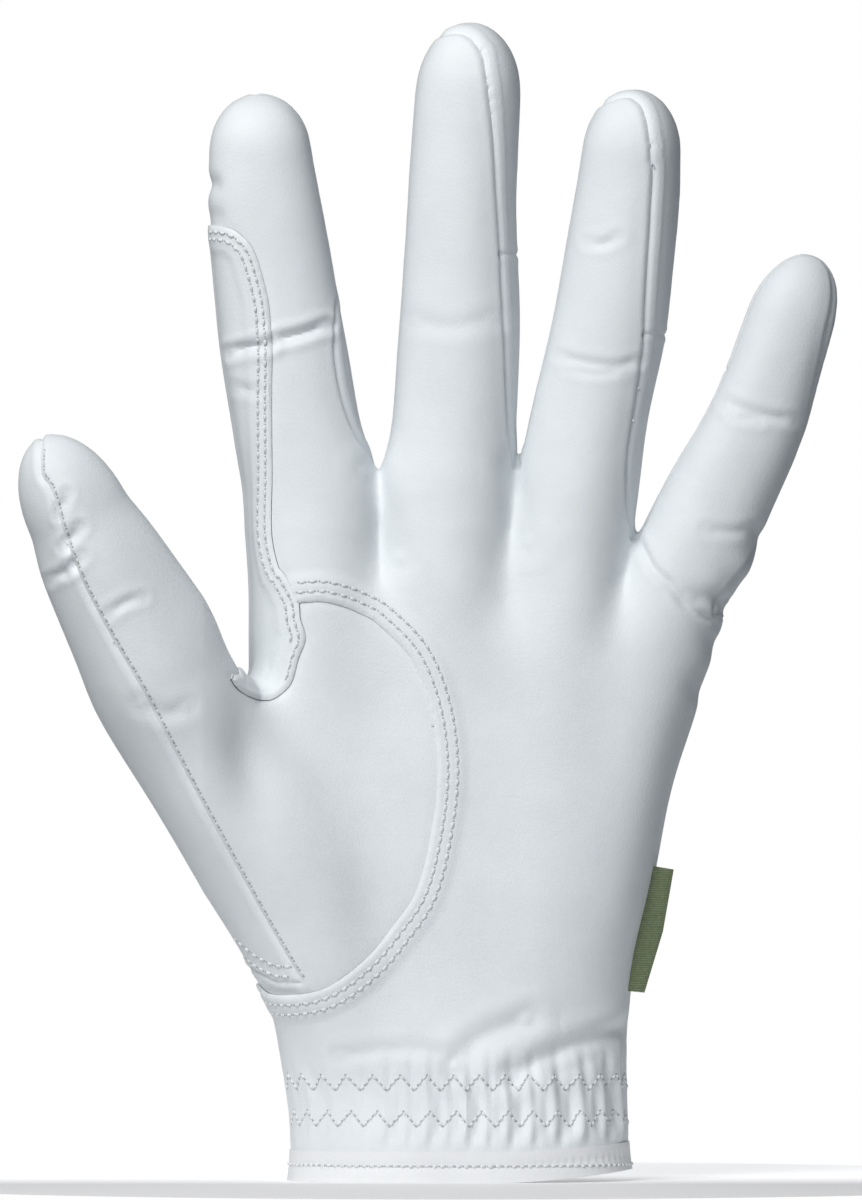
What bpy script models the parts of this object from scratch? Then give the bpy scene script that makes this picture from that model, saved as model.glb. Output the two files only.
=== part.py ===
"""Golf glove for the left hand, standing on its cuff in the shape of the hand that wears it.

Metres, +Z up. The palm faces -Y, the thumb is on the -X side, and the origin is the
centre of the wrist opening at the hem's lower edge. The pattern pieces are cut from one
glove form, so every piece follows the same surface and meets its neighbour at a seam.
"""

import math

import bmesh
import bpy
from mathutils import Matrix, Vector
from mathutils.bvhtree import BVHTree

# ---------------------------------------------------------------- driving dimensions
LEATHER = 0.0008          # thickness of the leather
SEAM_GAP = 0.0003         # clearance between neighbouring pieces
RING_POINTS = 32          # corners of one cross-section of the form
RING_POWER = 2.3          # superellipse power of a cross-section: 2 is an ellipse
FORM_VOXEL = 0.0012       # cell of the remesh that joins the fingers and the palm
FORM_SMOOTHING = 10       # smoothing passes, which round the webs between the fingers
FORM_FACES = 2200         # triangles of the glove form after decimation
DOME_RINGS = 4            # cross-sections that round a fingertip

HEM_HEIGHT = 0.006
HEM_OUTER = 0.0004        # how far the hem stands out from the leather
HEM_INNER = -0.0013
ELASTIC_Z = (0.0085, 0.0225)
ELASTIC_LAYER = (-0.0022, -0.0012)
ELASTIC_X = 0.0300
ELASTIC_Y = 0.0060

# Each ray is one finger with the part of the hand that carries it, from the wrist up:
# centre x, y, z, half width and half depth of each cross-section, then the length of the
# rounded tip and the roll, in degrees, of its palm side towards the thumb.
RAYS = {
    "palm": dict(
        sections=(
            (-0.0005, 0.000, -0.012, 0.0337, 0.0215),
            (-0.0005, 0.000, 0.014, 0.0334, 0.0210),
            (-0.0018, 0.000, 0.027, 0.0344, 0.0200),
            (-0.0010, 0.000, 0.042, 0.0350, 0.0190),
            (0.0000, 0.000, 0.062, 0.0385, 0.0175),
            (0.0010, 0.000, 0.085, 0.0420, 0.0155),
            (0.0045, 0.000, 0.104, 0.0445, 0.0135),
        ),
        dome=0.010,
        roll=0.0,
    ),
    "index": dict(
        sections=(
            (-0.0230, 0.0000, 0.060, 0.0140, 0.0160),
            (-0.0275, 0.0000, 0.095, 0.0138, 0.0150),
            (-0.0288, 0.0000, 0.119, 0.0130, 0.0132),
            (-0.0293, 0.0000, 0.134, 0.0131, 0.0120),
            (-0.0319, 0.0000, 0.146, 0.0123, 0.0112),
            (-0.0353, -0.0005, 0.167, 0.0120, 0.0104),
            (-0.0384, -0.0020, 0.190, 0.0109, 0.0098),
            (-0.0393, -0.0030, 0.200, 0.0100, 0.0088),
        ),
        dome=0.0120,
        roll=4.0,
    ),
    "middle": dict(
        sections=(
            (-0.0020, 0.0000, 0.060, 0.0150, 0.0170),
            (-0.0026, 0.0000, 0.095, 0.0140, 0.0155),
            (-0.0027, 0.0000, 0.119, 0.0130, 0.0136),
            (-0.0029, 0.0000, 0.134, 0.0134, 0.0124),
            (-0.0016, 0.0000, 0.146, 0.0121, 0.0115),
            (-0.0004, -0.0005, 0.170, 0.0116, 0.0106),
            (0.0001, -0.0015, 0.192, 0.0105, 0.0098),
            (0.0012, -0.0030, 0.212, 0.0101, 0.0090),
        ),
        dome=0.0140,
        roll=16.0,
    ),
    "ring": dict(
        sections=(
            (0.0160, 0.0000, 0.060, 0.0150, 0.0170),
            (0.0185, 0.0000, 0.095, 0.0135, 0.0150),
            (0.0205, 0.0000, 0.120, 0.0122, 0.0130),
            (0.0242, 0.0000, 0.145, 0.0113, 0.0112),
            (0.0287, -0.0005, 0.166, 0.0110, 0.0104),
            (0.0321, -0.0015, 0.190, 0.0102, 0.0096),
            (0.0331, -0.0030, 0.200, 0.0096, 0.0088),
        ),
        dome=0.0130,
        roll=18.0,
    ),
    "little": dict(
        sections=(
            (0.0240, 0.0000, 0.050, 0.0110, 0.0150),
            (0.0312, 0.0000, 0.085, 0.0112, 0.0140),
            (0.0405, 0.0000, 0.112, 0.0110, 0.0120),
            (0.0495, 0.0000, 0.1318, 0.0105, 0.0102),
            (0.0576, -0.0010, 0.1483, 0.0095, 0.0090),
            (0.0635, -0.0025, 0.1657, 0.0086, 0.0078),
        ),
        dome=0.0157,
        roll=-4.0,
    ),
    "thumb": dict(
        sections=(
            (-0.0200, -0.004, 0.028, 0.0135, 0.0160),
            (-0.0270, -0.008, 0.045, 0.0145, 0.0180),
            (-0.0395, -0.011, 0.070, 0.0160, 0.0170),
            (-0.0568, -0.016, 0.0949, 0.0137, 0.0140),
            (-0.0607, -0.018, 0.1036, 0.0141, 0.0135),
            (-0.0700, -0.022, 0.1210, 0.0119, 0.0115),
            (-0.0741, -0.024, 0.1292, 0.0099, 0.0098),
        ),
        dome=0.0178,
        roll=-36.0,
    ),
}
FINGERS = ("index", "middle", "ring", "little")

# Pieces that move, by the joint that moves them. The rest stays with the palm.
BODIES = {
    "knuckle": (
        "fingers_front", "fingers_back", "gusset_index_middle", "gusset_middle_ring",
        "gusset_ring_little", "index_strip_middle",
    ),
    "index": ("index_tip_front", "index_tip_back", "index_strip_tip"),
    "middle": ("middle_tip_front", "middle_tip_back"),
    "ring": ("ring_tip_front", "ring_tip_back"),
    "little": ("little_tip_front", "little_tip_back"),
    "thumb_base": ("thumb_middle_front", "thumb_middle_back"),
    "thumb_tip": ("thumb_tip_front", "thumb_tip_back"),
    "closure_tab": ("closure_tab", "hook_pad"),
}

# Hinges. A finger bends at the height given on its own centre line; the knuckle line
# crosses the whole hand between two points. The angle is the most that each one bends.
PIP_HEIGHT = {"index": 0.1640, "middle": 0.1670, "ring": 0.1600, "little": 0.1500}
PIP_BEND = 65.0
KNUCKLE_LEFT = Vector((-0.0460, -0.003, 0.1260))
KNUCKLE_RIGHT = Vector((0.0540, -0.003, 0.1060))
KNUCKLE_BEND = 50.0
THUMB_BASE_HEIGHT = 0.1000
THUMB_BASE_BEND = 25.0
THUMB_TIP_HEIGHT = 0.1170
THUMB_TIP_BEND = 40.0
HINGE_FORWARD = 0.003     # the hinge line lies this far on the palm side of the centre

FRONT_HALF_ANGLE = 52.0   # half of a fingertip's palm piece, round the finger
THUMB_HALF_ANGLE = 62.0
WALL_HALF_DEPTH = 0.0060  # half depth of the side walls between the fingers

# The thumb piece is set into the palm as an oval; these are in the plane of the palm.
OVAL_CENTRE = (-0.031, 0.075)
OVAL_RADII = (0.029, 0.0415)
THUMB_SEAM = ((-0.1080, 0.1770), (-0.0314, 0.0403))
THUMB_BACK_SEAM = ((-0.1000, 0.1770), (-0.0395, 0.0950), (-0.0360, 0.0403))
# Edge of the leather strip along the index finger, from its top end to the thumb web.
STRIP_EDGE = (
    (-0.0420, 0.1850), (-0.0388, 0.1770), (-0.0372, 0.1680), (-0.0369, 0.1260),
    (-0.0345, 0.1170), (-0.0312, 0.1080), (-0.0318, 0.1010), (-0.0350, 0.0950),
    (-0.0400, 0.0940),
)

SLIT_WIDTH = 0.005        # opening at the back of the wrist
SLIT_TOP = 0.046
SLIT_ARC = 6              # steps of its round top
WRIST_TOP = 0.085
BINDING_WIDTH = 0.003
TAB_Z = (0.012, 0.038)
TAB_CORNER = 0.006
TAB_CORNER_BOW = 0.3      # share of the corner that its rounding cuts off
TAB_X = (-0.019, 0.025)
TAB_HINGE_X = -0.011
PAD_X = (0.0045, 0.0225)  # hook and loop under the free end of the tab
PAD_INSET = 0.003
LOOP_LAYER = (0.0002, 0.0008)
HOOK_LAYER = (0.0010, 0.0016)
TAB_LAYER = (0.0018, 0.0028)
LABEL_OUTLINE = ((0.0300, 0.0370), (0.0368, 0.0370), (0.0412, 0.0610), (0.0340, 0.0610))
LABEL_THICKNESS = 0.0012

FAR = 0.3                 # past every part of the glove
NOTCH_REACH = 0.032
TIP_HALF_WIDTH = 0.0135
THUMB_HALF_WIDTH = 0.0160
KNUCKLE_HALF_WIDTH = 0.0520
WALL_REACH = 0.0155
# How far the side walls run down from each finger's middle joint: thumb side, other side.
WALL_LENGTH = {
    "index": (0.0, 0.0285), "middle": (0.0320, 0.0300),
    "ring": (0.0240, 0.0380), "little": (0.0290, 0.0),
}
# Outline of the part of the hand above the knuckle line, thumb excluded.
BLOCK_OUTLINE = (
    (-0.0460, 0.1260), (0.0700, 0.1028), (0.1500, 0.1028), (0.1500, 0.3000),
    (-0.0620, 0.3000), (-0.0620, 0.1750), (-0.0470, 0.1400),
)
THUMB_FRONT = ((-0.0310, 0.1165), (-0.0500, 0.1165), (-0.0800, 0.0600), (-0.0310, 0.0600))
THUMB_MIDDLE = -0.009     # the thumb piece turns to the back of the hand at this y
WEB_CORNER = (-0.0520, 0.0985)
STRIP_OVERLAP = 0.02      # how far the strip's cutters run past the bend between its parts
STRIP_LEFT = -0.060       # beyond the thumb side of the index finger
STRIP_BACK = 0.004        # the strip wraps round the index finger to this y
OVAL_POINTS = 40
# Colours and finish of the materials.
MATERIALS = {
    "leather": ((0.80, 0.82, 0.84), 0.55),
    "binding": ((0.84, 0.85, 0.87), 0.60),
    "elastic": ((0.75, 0.76, 0.78), 0.80),
    "label": ((0.16, 0.29, 0.07), 0.75),
    "hook_and_loop": ((0.70, 0.72, 0.74), 0.90),
}


# ---------------------------------------------------------------- scene and helpers
def clear_scene():
    for old in list(bpy.data.objects):
        bpy.data.objects.remove(old)


def new_collection(name):
    collection = bpy.data.collections.new(name)
    bpy.context.scene.collection.children.link(collection)
    return collection


def add_object(name, mesh, collection):
    obj = bpy.data.objects.new(name, mesh)
    collection.objects.link(obj)
    return obj


def make_material(name, colour, roughness):
    material = bpy.data.materials.new(name)
    material.use_nodes = True
    shader = material.node_tree.nodes["Principled BSDF"]
    shader.inputs["Base Color"].default_value = (*colour, 1.0)
    shader.inputs["Roughness"].default_value = roughness
    material.diffuse_color = (*colour, 1.0)
    return material


def evaluated_mesh(obj):
    """A new mesh with the object's modifiers applied."""
    graph = bpy.context.evaluated_depsgraph_get()
    return bpy.data.meshes.new_from_object(obj.evaluated_get(graph))


# ---------------------------------------------------------------- the glove form
def axes_at(below, above, roll):
    """Side (+X), front (-Y, the palm side) and along directions of a ring."""
    along = (above - below).normalized()
    side = Vector((0, 1, 0)).cross(along).normalized()
    front = side.cross(along)
    turn = Matrix.Rotation(math.radians(roll), 3, along)
    return turn @ side, turn @ front, along


def ring(centre, side, front, half_width, half_depth):
    points = []
    for step in range(RING_POINTS):
        angle = 2 * math.pi * step / RING_POINTS
        across, forward = math.sin(angle), math.cos(angle)
        across = math.copysign(abs(across) ** (2 / RING_POWER), across)
        forward = math.copysign(abs(forward) ** (2 / RING_POWER), forward)
        points.append(centre + side * half_width * across + front * half_depth * forward)
    return points


def ray_rings(ray):
    """The cross-sections of one ray, with those that round its tip."""
    sections = [(Vector(s[:3]), s[3], s[4]) for s in ray["sections"]]
    last = len(sections) - 1
    rings = []
    for index, (centre, half_width, half_depth) in enumerate(sections):
        below = sections[max(index - 1, 0)][0]
        above = sections[min(index + 1, last)][0]
        side, front, along = axes_at(below, above, -ray["roll"])
        rings.append(ring(centre, side, front, half_width, half_depth))
    centre, half_width, half_depth = sections[last]
    for step in range(1, DOME_RINGS + 1):
        angle = 0.5 * math.pi * step / (DOME_RINGS + 0.35)
        shrink = math.cos(angle)
        middle = centre + along * ray["dome"] * math.sin(angle)
        rings.append(ring(middle, side, front, half_width * shrink, half_depth * shrink))
    return rings


def add_loft(mesh, rings):
    """Adds a closed skin over the rings to a bmesh."""
    corners = [[mesh.verts.new(point) for point in points] for points in rings]
    for lower, upper in zip(corners, corners[1:]):
        for here in range(RING_POINTS):
            following = (here + 1) % RING_POINTS
            mesh.faces.new((lower[here], lower[following], upper[following], upper[here]))
    mesh.faces.new(reversed(corners[0]))
    mesh.faces.new(corners[-1])


def make_form():
    """The glove's outer surface as one mesh: overlapping lofts joined, then smoothed."""
    mesh = bmesh.new()
    for ray in RAYS.values():
        add_loft(mesh, ray_rings(ray))
    bmesh.ops.recalc_face_normals(mesh, faces=mesh.faces)
    data = bpy.data.meshes.new("glove_form")
    mesh.to_mesh(data)
    mesh.free()
    form = add_object("glove_form", data, GUIDES)
    remesh = form.modifiers.new("join", "REMESH")
    remesh.mode = "VOXEL"
    remesh.voxel_size = FORM_VOXEL
    smooth = form.modifiers.new("round_webs", "SMOOTH")
    smooth.factor = 0.5
    smooth.iterations = FORM_SMOOTHING
    form.data = evaluated_mesh(form)
    form.modifiers.clear()
    decimate = form.modifiers.new("decimate", "DECIMATE")
    form.data.calc_loop_triangles()
    decimate.ratio = FORM_FACES / len(form.data.loop_triangles)
    form.data = evaluated_mesh(form)
    form.modifiers.clear()
    hide(form)
    return form.data


# ---------------------------------------------------------------- cutters
def hide(obj):
    obj.hide_render = True
    obj.display_type = "WIRE"


PALM_PLANE = Matrix(((1, 0, 0, 0), (0, 0, 1, 0), (0, 1, 0, 0), (0, 0, 0, 1)))


def offset_outline(outline, distance):
    """A closed 2D outline moved outwards by a distance, with mitred corners."""
    points = [Vector(point) for point in outline]
    area = sum(a.x * b.y - b.x * a.y for a, b in zip(points, points[1:] + points[:1]))
    turn = 1 if area > 0 else -1
    moved = []
    for index, point in enumerate(points):
        before = (point - points[index - 1]).normalized()
        after = (points[(index + 1) % len(points)] - point).normalized()
        out_before = Vector((before.y, -before.x)) * turn
        out_after = Vector((after.y, -after.x)) * turn
        mitre = (out_before + out_after).normalized()
        moved.append(tuple(point + mitre * (distance / max(mitre.dot(out_after), 0.4))))
    return moved


def prism(name, outline, low, high, frame, grow=0.0):
    """A prism: a 2D outline in the frame's first two axes, from low to high on its third."""
    outline = offset_outline(outline, grow)
    mesh = bmesh.new()
    floor = [mesh.verts.new((x, y, low - grow)) for x, y in outline]
    roof = [mesh.verts.new((x, y, high + grow)) for x, y in outline]
    mesh.faces.new(floor)
    mesh.faces.new(roof)
    for here in range(len(outline)):
        following = (here + 1) % len(outline)
        mesh.faces.new((floor[here], floor[following], roof[following], roof[here]))
    bmesh.ops.transform(mesh, matrix=frame, verts=mesh.verts)
    bmesh.ops.recalc_face_normals(mesh, faces=mesh.faces)
    data = bpy.data.meshes.new(name)
    mesh.to_mesh(data)
    mesh.free()
    cutter = add_object(name, data, CUTTERS)
    hide(cutter)
    return cutter


def joined(name, pieces):
    """Several cutters as one, by Boolean union."""
    cutter = add_object(name, evaluated_mesh(pieces[0]), CUTTERS)
    for piece in pieces[1:]:
        add_boolean(cutter, "UNION", piece)
    hide(cutter)
    return cutter


def frame_of(origin, first, second, third):
    """Matrix whose columns are the three directions, at the origin given."""
    rotation = Matrix((first, second, third)).transposed().to_4x4()
    return Matrix.Translation(origin) @ rotation


def palm_prism(name, outline, low=-FAR, high=FAR, grow=0.0):
    """Prism through the hand, with its outline drawn in x and z."""
    return prism(name, outline, low, high, PALM_PLANE, grow)


def add_boolean(obj, operation, cutter):
    boolean = obj.modifiers.new(operation.lower() + "_" + cutter.name, "BOOLEAN")
    boolean.operation = operation
    boolean.solver = "EXACT"
    boolean.object = cutter


class Hinge:
    """A bending line, with the cutters that belong to it."""

    def __init__(self, name, centre, axes, bend):
        self.name = name
        self.side, self.front, self.along = axes
        self.centre = centre
        self.point = centre + self.front * HINGE_FORWARD
        self.bend = bend
        self.frame = frame_of(centre, self.side, self.front, self.along)

    def notch(self, reach, half_width):
        """Slot through the back of the hand that opens to a wedge on the palm side."""
        opening = SEAM_GAP + reach * math.tan(math.radians(self.bend / 2))
        outline = (
            (-reach, -SEAM_GAP), (0, -SEAM_GAP), (reach, -opening),
            (reach, opening), (0, SEAM_GAP), (-reach, SEAM_GAP),
        )
        frame = frame_of(self.point, self.front, self.along, self.side)
        return prism("notch_" + self.name, outline, -half_width, half_width, frame)

    def beyond(self, half_width):
        """Box that holds everything past the bending line."""
        outline = ((-half_width, -FAR), (half_width, -FAR), (half_width, FAR), (-half_width, FAR))
        return prism("beyond_" + self.name, outline, 0, FAR, self.frame)

    def front_slice(self, half_angle, grow=0.0):
        """Wedge that holds the palm side of a finger."""
        wide = FAR * math.sin(math.radians(half_angle))
        deep = FAR * math.cos(math.radians(half_angle))
        outline = ((0, 0), (wide, deep), (wide, FAR), (-wide, FAR), (-wide, deep))
        name = f"front_{self.name}" + ("_clear" if grow else "")
        return prism(name, outline, -FAR, FAR, self.frame, grow)

    def wall(self, sign, grow=0.0):
        """Slab that holds the side wall of a finger on one side of its centre."""
        reach, half = sign * WALL_REACH, WALL_HALF_DEPTH
        low = -WALL_LENGTH[self.name][1 if sign > 0 else 0]
        outline = ((0, -half), (reach, -half), (reach, half), (0, half))
        name = f"wall_{self.name}_{'right' if sign > 0 else 'left'}" + ("_clear" if grow else "")
        return prism(name, outline, low, FAR, self.frame, grow)


def ray_hinge(ray_name, height, bend, name):
    """Hinge across a ray's centre line, at a height above the hem."""
    ray = RAYS[ray_name]
    centres = [Vector(section[:3]) for section in ray["sections"]]
    for below, above in zip(centres, centres[1:]):
        if below.z <= height <= above.z:
            share = (height - below.z) / (above.z - below.z)
            axes = axes_at(below, above, -ray["roll"])
            return Hinge(name, below.lerp(above, share), axes, bend)
    raise ValueError(f"{ray_name} has no section at {height}")


def knuckle_hinge():
    side = (KNUCKLE_RIGHT - KNUCKLE_LEFT).normalized()
    front = Vector((0, -1, 0))
    centre = KNUCKLE_LEFT.lerp(KNUCKLE_RIGHT, 0.5)
    return Hinge("knuckle", centre, (side, front, front.cross(side)), KNUCKLE_BEND)


def make_wrist_form():
    """The lower part of the form, open at its top."""
    mesh = bmesh.new()
    mesh.from_mesh(FORM)
    outside = [vertex for vertex in mesh.verts if vertex.co.z > WRIST_TOP]
    bmesh.ops.delete(mesh, geom=outside, context="VERTS")
    data = bpy.data.meshes.new("wrist_form")
    mesh.to_mesh(data)
    mesh.free()
    return data


def displaced(form, distance):
    """A copy of a form, moved along its normals."""
    guide = add_object("form_moved", form.copy(), GUIDES)
    shift = guide.modifiers.new("shift", "DISPLACE")
    shift.strength = distance
    shift.mid_level = 0.0
    hide(guide)
    return guide


def layer(name, form, low, high):
    """A form as a layer of material, from low to high outside its surface."""
    guide = displaced(form, high)
    guide.name = name
    thickness = guide.modifiers.new("thickness", "SOLIDIFY")
    thickness.thickness = high - low
    thickness.offset = -1
    thickness.use_even_offset = True
    guide.data = evaluated_mesh(guide)
    guide.modifiers.clear()
    return guide


def carve(name, source, keep=(), remove=(), material=None, collection=None):
    """A piece of a source body: the part inside every keep and outside every remove."""
    piece = add_object(name, source.data.copy(), collection or GUIDES)
    for cutter in keep:
        add_boolean(piece, "INTERSECT", cutter)
    for cutter in remove:
        add_boolean(piece, "DIFFERENCE", cutter)
    if material:
        piece.data.materials.clear()
        piece.data.materials.append(MATERIAL[material])
    else:
        piece.data = evaluated_mesh(piece)
        piece.modifiers.clear()
        hide(piece)
    return piece


def node(name, source, keep=(), remove=(), material="leather"):
    return carve(name, source, keep, remove, material, GLOVE)


# ---------------------------------------------------------------- outlines
def box_outline(low, high=FAR, left=-FAR, right=FAR):
    return ((left, low), (right, low), (right, high), (left, high))


def oval_outline():
    turns = [2 * math.pi * step / OVAL_POINTS for step in range(OVAL_POINTS)]
    return [(OVAL_CENTRE[0] + OVAL_RADII[0] * math.cos(turn),
             OVAL_CENTRE[1] + OVAL_RADII[1] * math.sin(turn)) for turn in turns]


def slit_outline(half_width, bottom):
    """The slit at the back of the wrist: straight sides and a round top."""
    arc = [math.pi * step / SLIT_ARC for step in range(SLIT_ARC + 1)]
    return [(-half_width, bottom), (half_width, bottom)] + [
        (half_width * math.cos(turn), SLIT_TOP + half_width * math.sin(turn)) for turn in arc]


def tab_outline(left, right, inset=0.0):
    """The closure tab from left to right, with its free corners cut off."""
    low, high = TAB_Z[0] + inset, TAB_Z[1] - inset
    corner = TAB_CORNER if right > PAD_X[0] else 0.0
    if not corner:
        return box_outline(low, high, left, right)
    bow = corner * TAB_CORNER_BOW
    return [(left, low), (right - corner, low), (right - bow, low + bow),
            (right, low + corner), (right, high - corner),
            (right - bow, high - bow), (right - corner, high), (left, high)]


# ---------------------------------------------------------------- the glove
def pair_of(name, maker):
    """The same cutter twice: as it is, and grown by the seam gap for its neighbours."""
    return maker(name, 0.0), maker(name + "_clear", SEAM_GAP)


def make_hinges():
    hinges = {"knuckle": knuckle_hinge()}
    for finger in FINGERS:
        hinges[finger] = ray_hinge(finger, PIP_HEIGHT[finger], PIP_BEND, finger)
    hinges["thumb_base"] = ray_hinge("thumb", THUMB_BASE_HEIGHT, THUMB_BASE_BEND, "thumb_base")
    hinges["thumb_tip"] = ray_hinge("thumb", THUMB_TIP_HEIGHT, THUMB_TIP_BEND, "thumb_tip")
    return hinges


def make_fingertips(leather, hinges, boxes, notches):
    outline = STRIP_EDGE[:4] + ((-FAR, STRIP_EDGE[3][1] - STRIP_OVERLAP), (-FAR, STRIP_EDGE[0][1]))
    strip, strip_clear = pair_of(
        "strip_tip", lambda name, grow: palm_prism(name, outline, -FAR, STRIP_BACK, grow))
    for finger in FINGERS:
        tip = carve("shell_" + finger, leather, [boxes[finger]], [notches[finger]])
        front = hinges[finger].front_slice(FRONT_HALF_ANGLE)
        front_clear = hinges[finger].front_slice(FRONT_HALF_ANGLE, SEAM_GAP)
        taken = [strip_clear] if finger == "index" else []
        node(finger + "_tip_front", tip, [front], taken)
        node(finger + "_tip_back", tip, [], [front_clear] + taken)
        if finger == "index":
            node("index_strip_tip", tip, [strip])


def make_finger_block(leather, hinges, block_box, boxes, notches):
    """The leather from the knuckle line to the middle joints of the fingers."""
    away = [boxes[finger] for finger in FINGERS]
    cuts = [notches[finger] for finger in FINGERS] + [notches["knuckle"]]
    block = carve("shell_block", leather, [block_box], away + cuts)
    taken = []
    for finger, neighbour in zip(FINGERS, FINGERS[1:]):
        def gusset(name, grow):
            walls = [hinges[finger].wall(1, grow), hinges[neighbour].wall(-1, grow)]
            return joined(name, walls)
        walls, walls_clear = pair_of(f"gusset_{finger}_{neighbour}_cut", gusset)
        node(f"gusset_{finger}_{neighbour}", block, [walls])
        taken.append(walls_clear)
    outline = STRIP_EDGE[2:5] + ((STRIP_LEFT, STRIP_EDGE[4][1]),
                                 (STRIP_LEFT, STRIP_EDGE[2][1] + STRIP_OVERLAP))
    strip, strip_clear = pair_of(
        "strip_middle", lambda name, grow: palm_prism(name, outline, -FAR, STRIP_BACK, grow))
    taken.append(strip_clear)
    node("index_strip_middle", block, [strip])
    node("fingers_front", block, [HALVES["front"]], taken)
    node("fingers_back", block, [HALVES["back"]], taken)


def make_thumb(leather, hinges, boxes, notches):
    lower = carve("shell_thumb_middle", leather, [boxes["thumb_base"]],
                  [boxes["thumb_tip"], notches["thumb_base"], notches["thumb_tip"]])
    tip = carve("shell_thumb_tip", leather, [boxes["thumb_tip"]], [notches["thumb_tip"]])
    for name, body, hinge in (("thumb_middle", lower, "thumb_base"),
                              ("thumb_tip", tip, "thumb_tip")):
        node(name + "_front", body, [hinges[hinge].front_slice(THUMB_HALF_ANGLE)])
        node(name + "_back", body, [], [hinges[hinge].front_slice(THUMB_HALF_ANGLE, SEAM_GAP)])


def make_palm(leather, block_box, boxes, notches):
    """Everything between the hem and the knuckle line."""
    above_hem = palm_prism("above_hem", box_outline(HEM_HEIGHT + SEAM_GAP))
    root = carve("shell_palm", leather, [above_hem],
                 [block_box, boxes["thumb_base"], notches["knuckle"], notches["thumb_base"]])
    foot = THUMB_SEAM[1][1]
    front_side = THUMB_SEAM + ((-FAR, foot), (-FAR, THUMB_SEAM[0][1]))
    back_side = THUMB_BACK_SEAM + ((-FAR, foot), (-FAR, THUMB_SEAM[0][1]))
    thumb_side, thumb_side_clear = pair_of("thumb_side", lambda name, grow: joined(name, [
        palm_prism(name + "_front", front_side, -FAR, THUMB_MIDDLE, grow),
        palm_prism(name + "_back", back_side, THUMB_MIDDLE - SEAM_GAP, FAR, grow)]))
    oval, oval_clear = pair_of("oval", lambda name, grow: joined(name, [
        palm_prism(name + "_round", oval_outline(), -FAR, THUMB_MIDDLE, grow),
        palm_prism(name + "_thumb", THUMB_FRONT, -FAR, THUMB_MIDDLE, grow)]))
    web_outline = STRIP_EDGE[4:] + (WEB_CORNER, (WEB_CORNER[0], STRIP_EDGE[4][1]))
    web, web_clear = pair_of(
        "web", lambda name, grow: palm_prism(name, web_outline, -FAR, STRIP_BACK, grow))
    half = SLIT_WIDTH / 2 + BINDING_WIDTH
    binding, binding_clear = pair_of("binding", lambda name, grow: palm_prism(
        name, slit_outline(half, HEM_HEIGHT), 0, FAR, grow))
    slit = palm_prism("slit", slit_outline(SLIT_WIDTH / 2, -SLIT_TOP), 0, FAR)
    node("thumb_base_back", root, [thumb_side], [web_clear])
    node("thumb_oval", root, [oval], [thumb_side_clear, web_clear])
    node("thumb_web", root, [web])
    node("palm", root, [HALVES["front"]], [thumb_side_clear, oval_clear, web_clear])
    node("back", root, [HALVES["back"]], [thumb_side_clear, web_clear, binding_clear])
    node("slit_binding", root, [binding], [slit], "binding")
    hem = layer("hem_layer", WRIST_FORM, HEM_INNER, HEM_OUTER)
    node("hem", hem, [palm_prism("hem_band", box_outline(0.0, HEM_HEIGHT))], [slit], "binding")


def make_wrist_parts():
    """The elastic behind the palm side of the wrist, the label, and the closure at the back."""
    band = palm_prism("elastic_band", box_outline(*ELASTIC_Z, -ELASTIC_X, ELASTIC_X),
                      -FAR, -ELASTIC_Y)
    node("wrist_elastic", layer("elastic_layer", WRIST_FORM, *ELASTIC_LAYER), [band], (), "elastic")
    label = palm_prism("label_cut", LABEL_OUTLINE, -LABEL_THICKNESS / 2, LABEL_THICKNESS / 2)
    solid = add_object("solid_clear", evaluated_mesh(displaced(FORM, SEAM_GAP)), CUTTERS)
    hide(solid)
    node("side_label", label, (), [solid], "label")

    tab_layer = layer("tab_layer", WRIST_FORM, *TAB_LAYER)
    free = palm_prism("tab_free", tab_outline(TAB_HINGE_X + SEAM_GAP, TAB_X[1]), 0, FAR)
    node("closure_tab", tab_layer, [free])
    sewn = palm_prism("tab_sewn", tab_outline(TAB_X[0], TAB_HINGE_X - SEAM_GAP), 0, FAR)
    node("tab_anchor", layer("anchor_layer", WRIST_FORM, LOOP_LAYER[0], TAB_LAYER[1]), [sewn])
    pad = palm_prism("pad", tab_outline(PAD_X[0], PAD_X[1], PAD_INSET), 0, FAR)
    node("hook_pad", layer("hook_layer", WRIST_FORM, *HOOK_LAYER), [pad], (), "hook_and_loop")
    node("loop_pad", layer("loop_layer", WRIST_FORM, *LOOP_LAYER), [pad], (), "hook_and_loop")


def surface_point(x, z):
    """Point on the back of the form at x and z, found by a ray from behind the hand."""
    tree = BVHTree.FromPolygons([vertex.co for vertex in FORM.vertices],
                                [face.vertices for face in FORM.polygons])
    return tree.ray_cast(Vector((x, FAR, z)), Vector((0, -1, 0)))[0]


def tab_axes():
    """Hinge of the closure tab: its sewn line, on the outer face of the tab."""
    low, high = (surface_point(TAB_HINGE_X, z) + Vector((0, TAB_LAYER[1], 0)) for z in TAB_Z)
    along = (high - low).normalized()
    return low.lerp(high, 0.5), along


def hang(hinges):
    """Parents each moving body's pieces to an empty on its joint's axis."""
    places = {name: hinge.point for name, hinge in hinges.items()}
    places["closure_tab"] = tab_axes()[0]
    empties = {}
    for name, point in places.items():
        empties[name] = add_object("pivot_" + name, None, GLOVE)
        empties[name].location = point
        empties[name].empty_display_size = 0.01
    for name in FINGERS:
        empties[name].parent = empties["knuckle"]
        empties[name].location = places[name] - places["knuckle"]
    empties["thumb_tip"].parent = empties["thumb_base"]
    empties["thumb_tip"].location = places["thumb_tip"] - places["thumb_base"]
    for body, pieces in BODIES.items():
        for piece in pieces:
            obj = GLOVE.objects[piece]
            obj.parent = empties[body]
            obj.matrix_parent_inverse = Matrix.Translation(-places[body])


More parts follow.
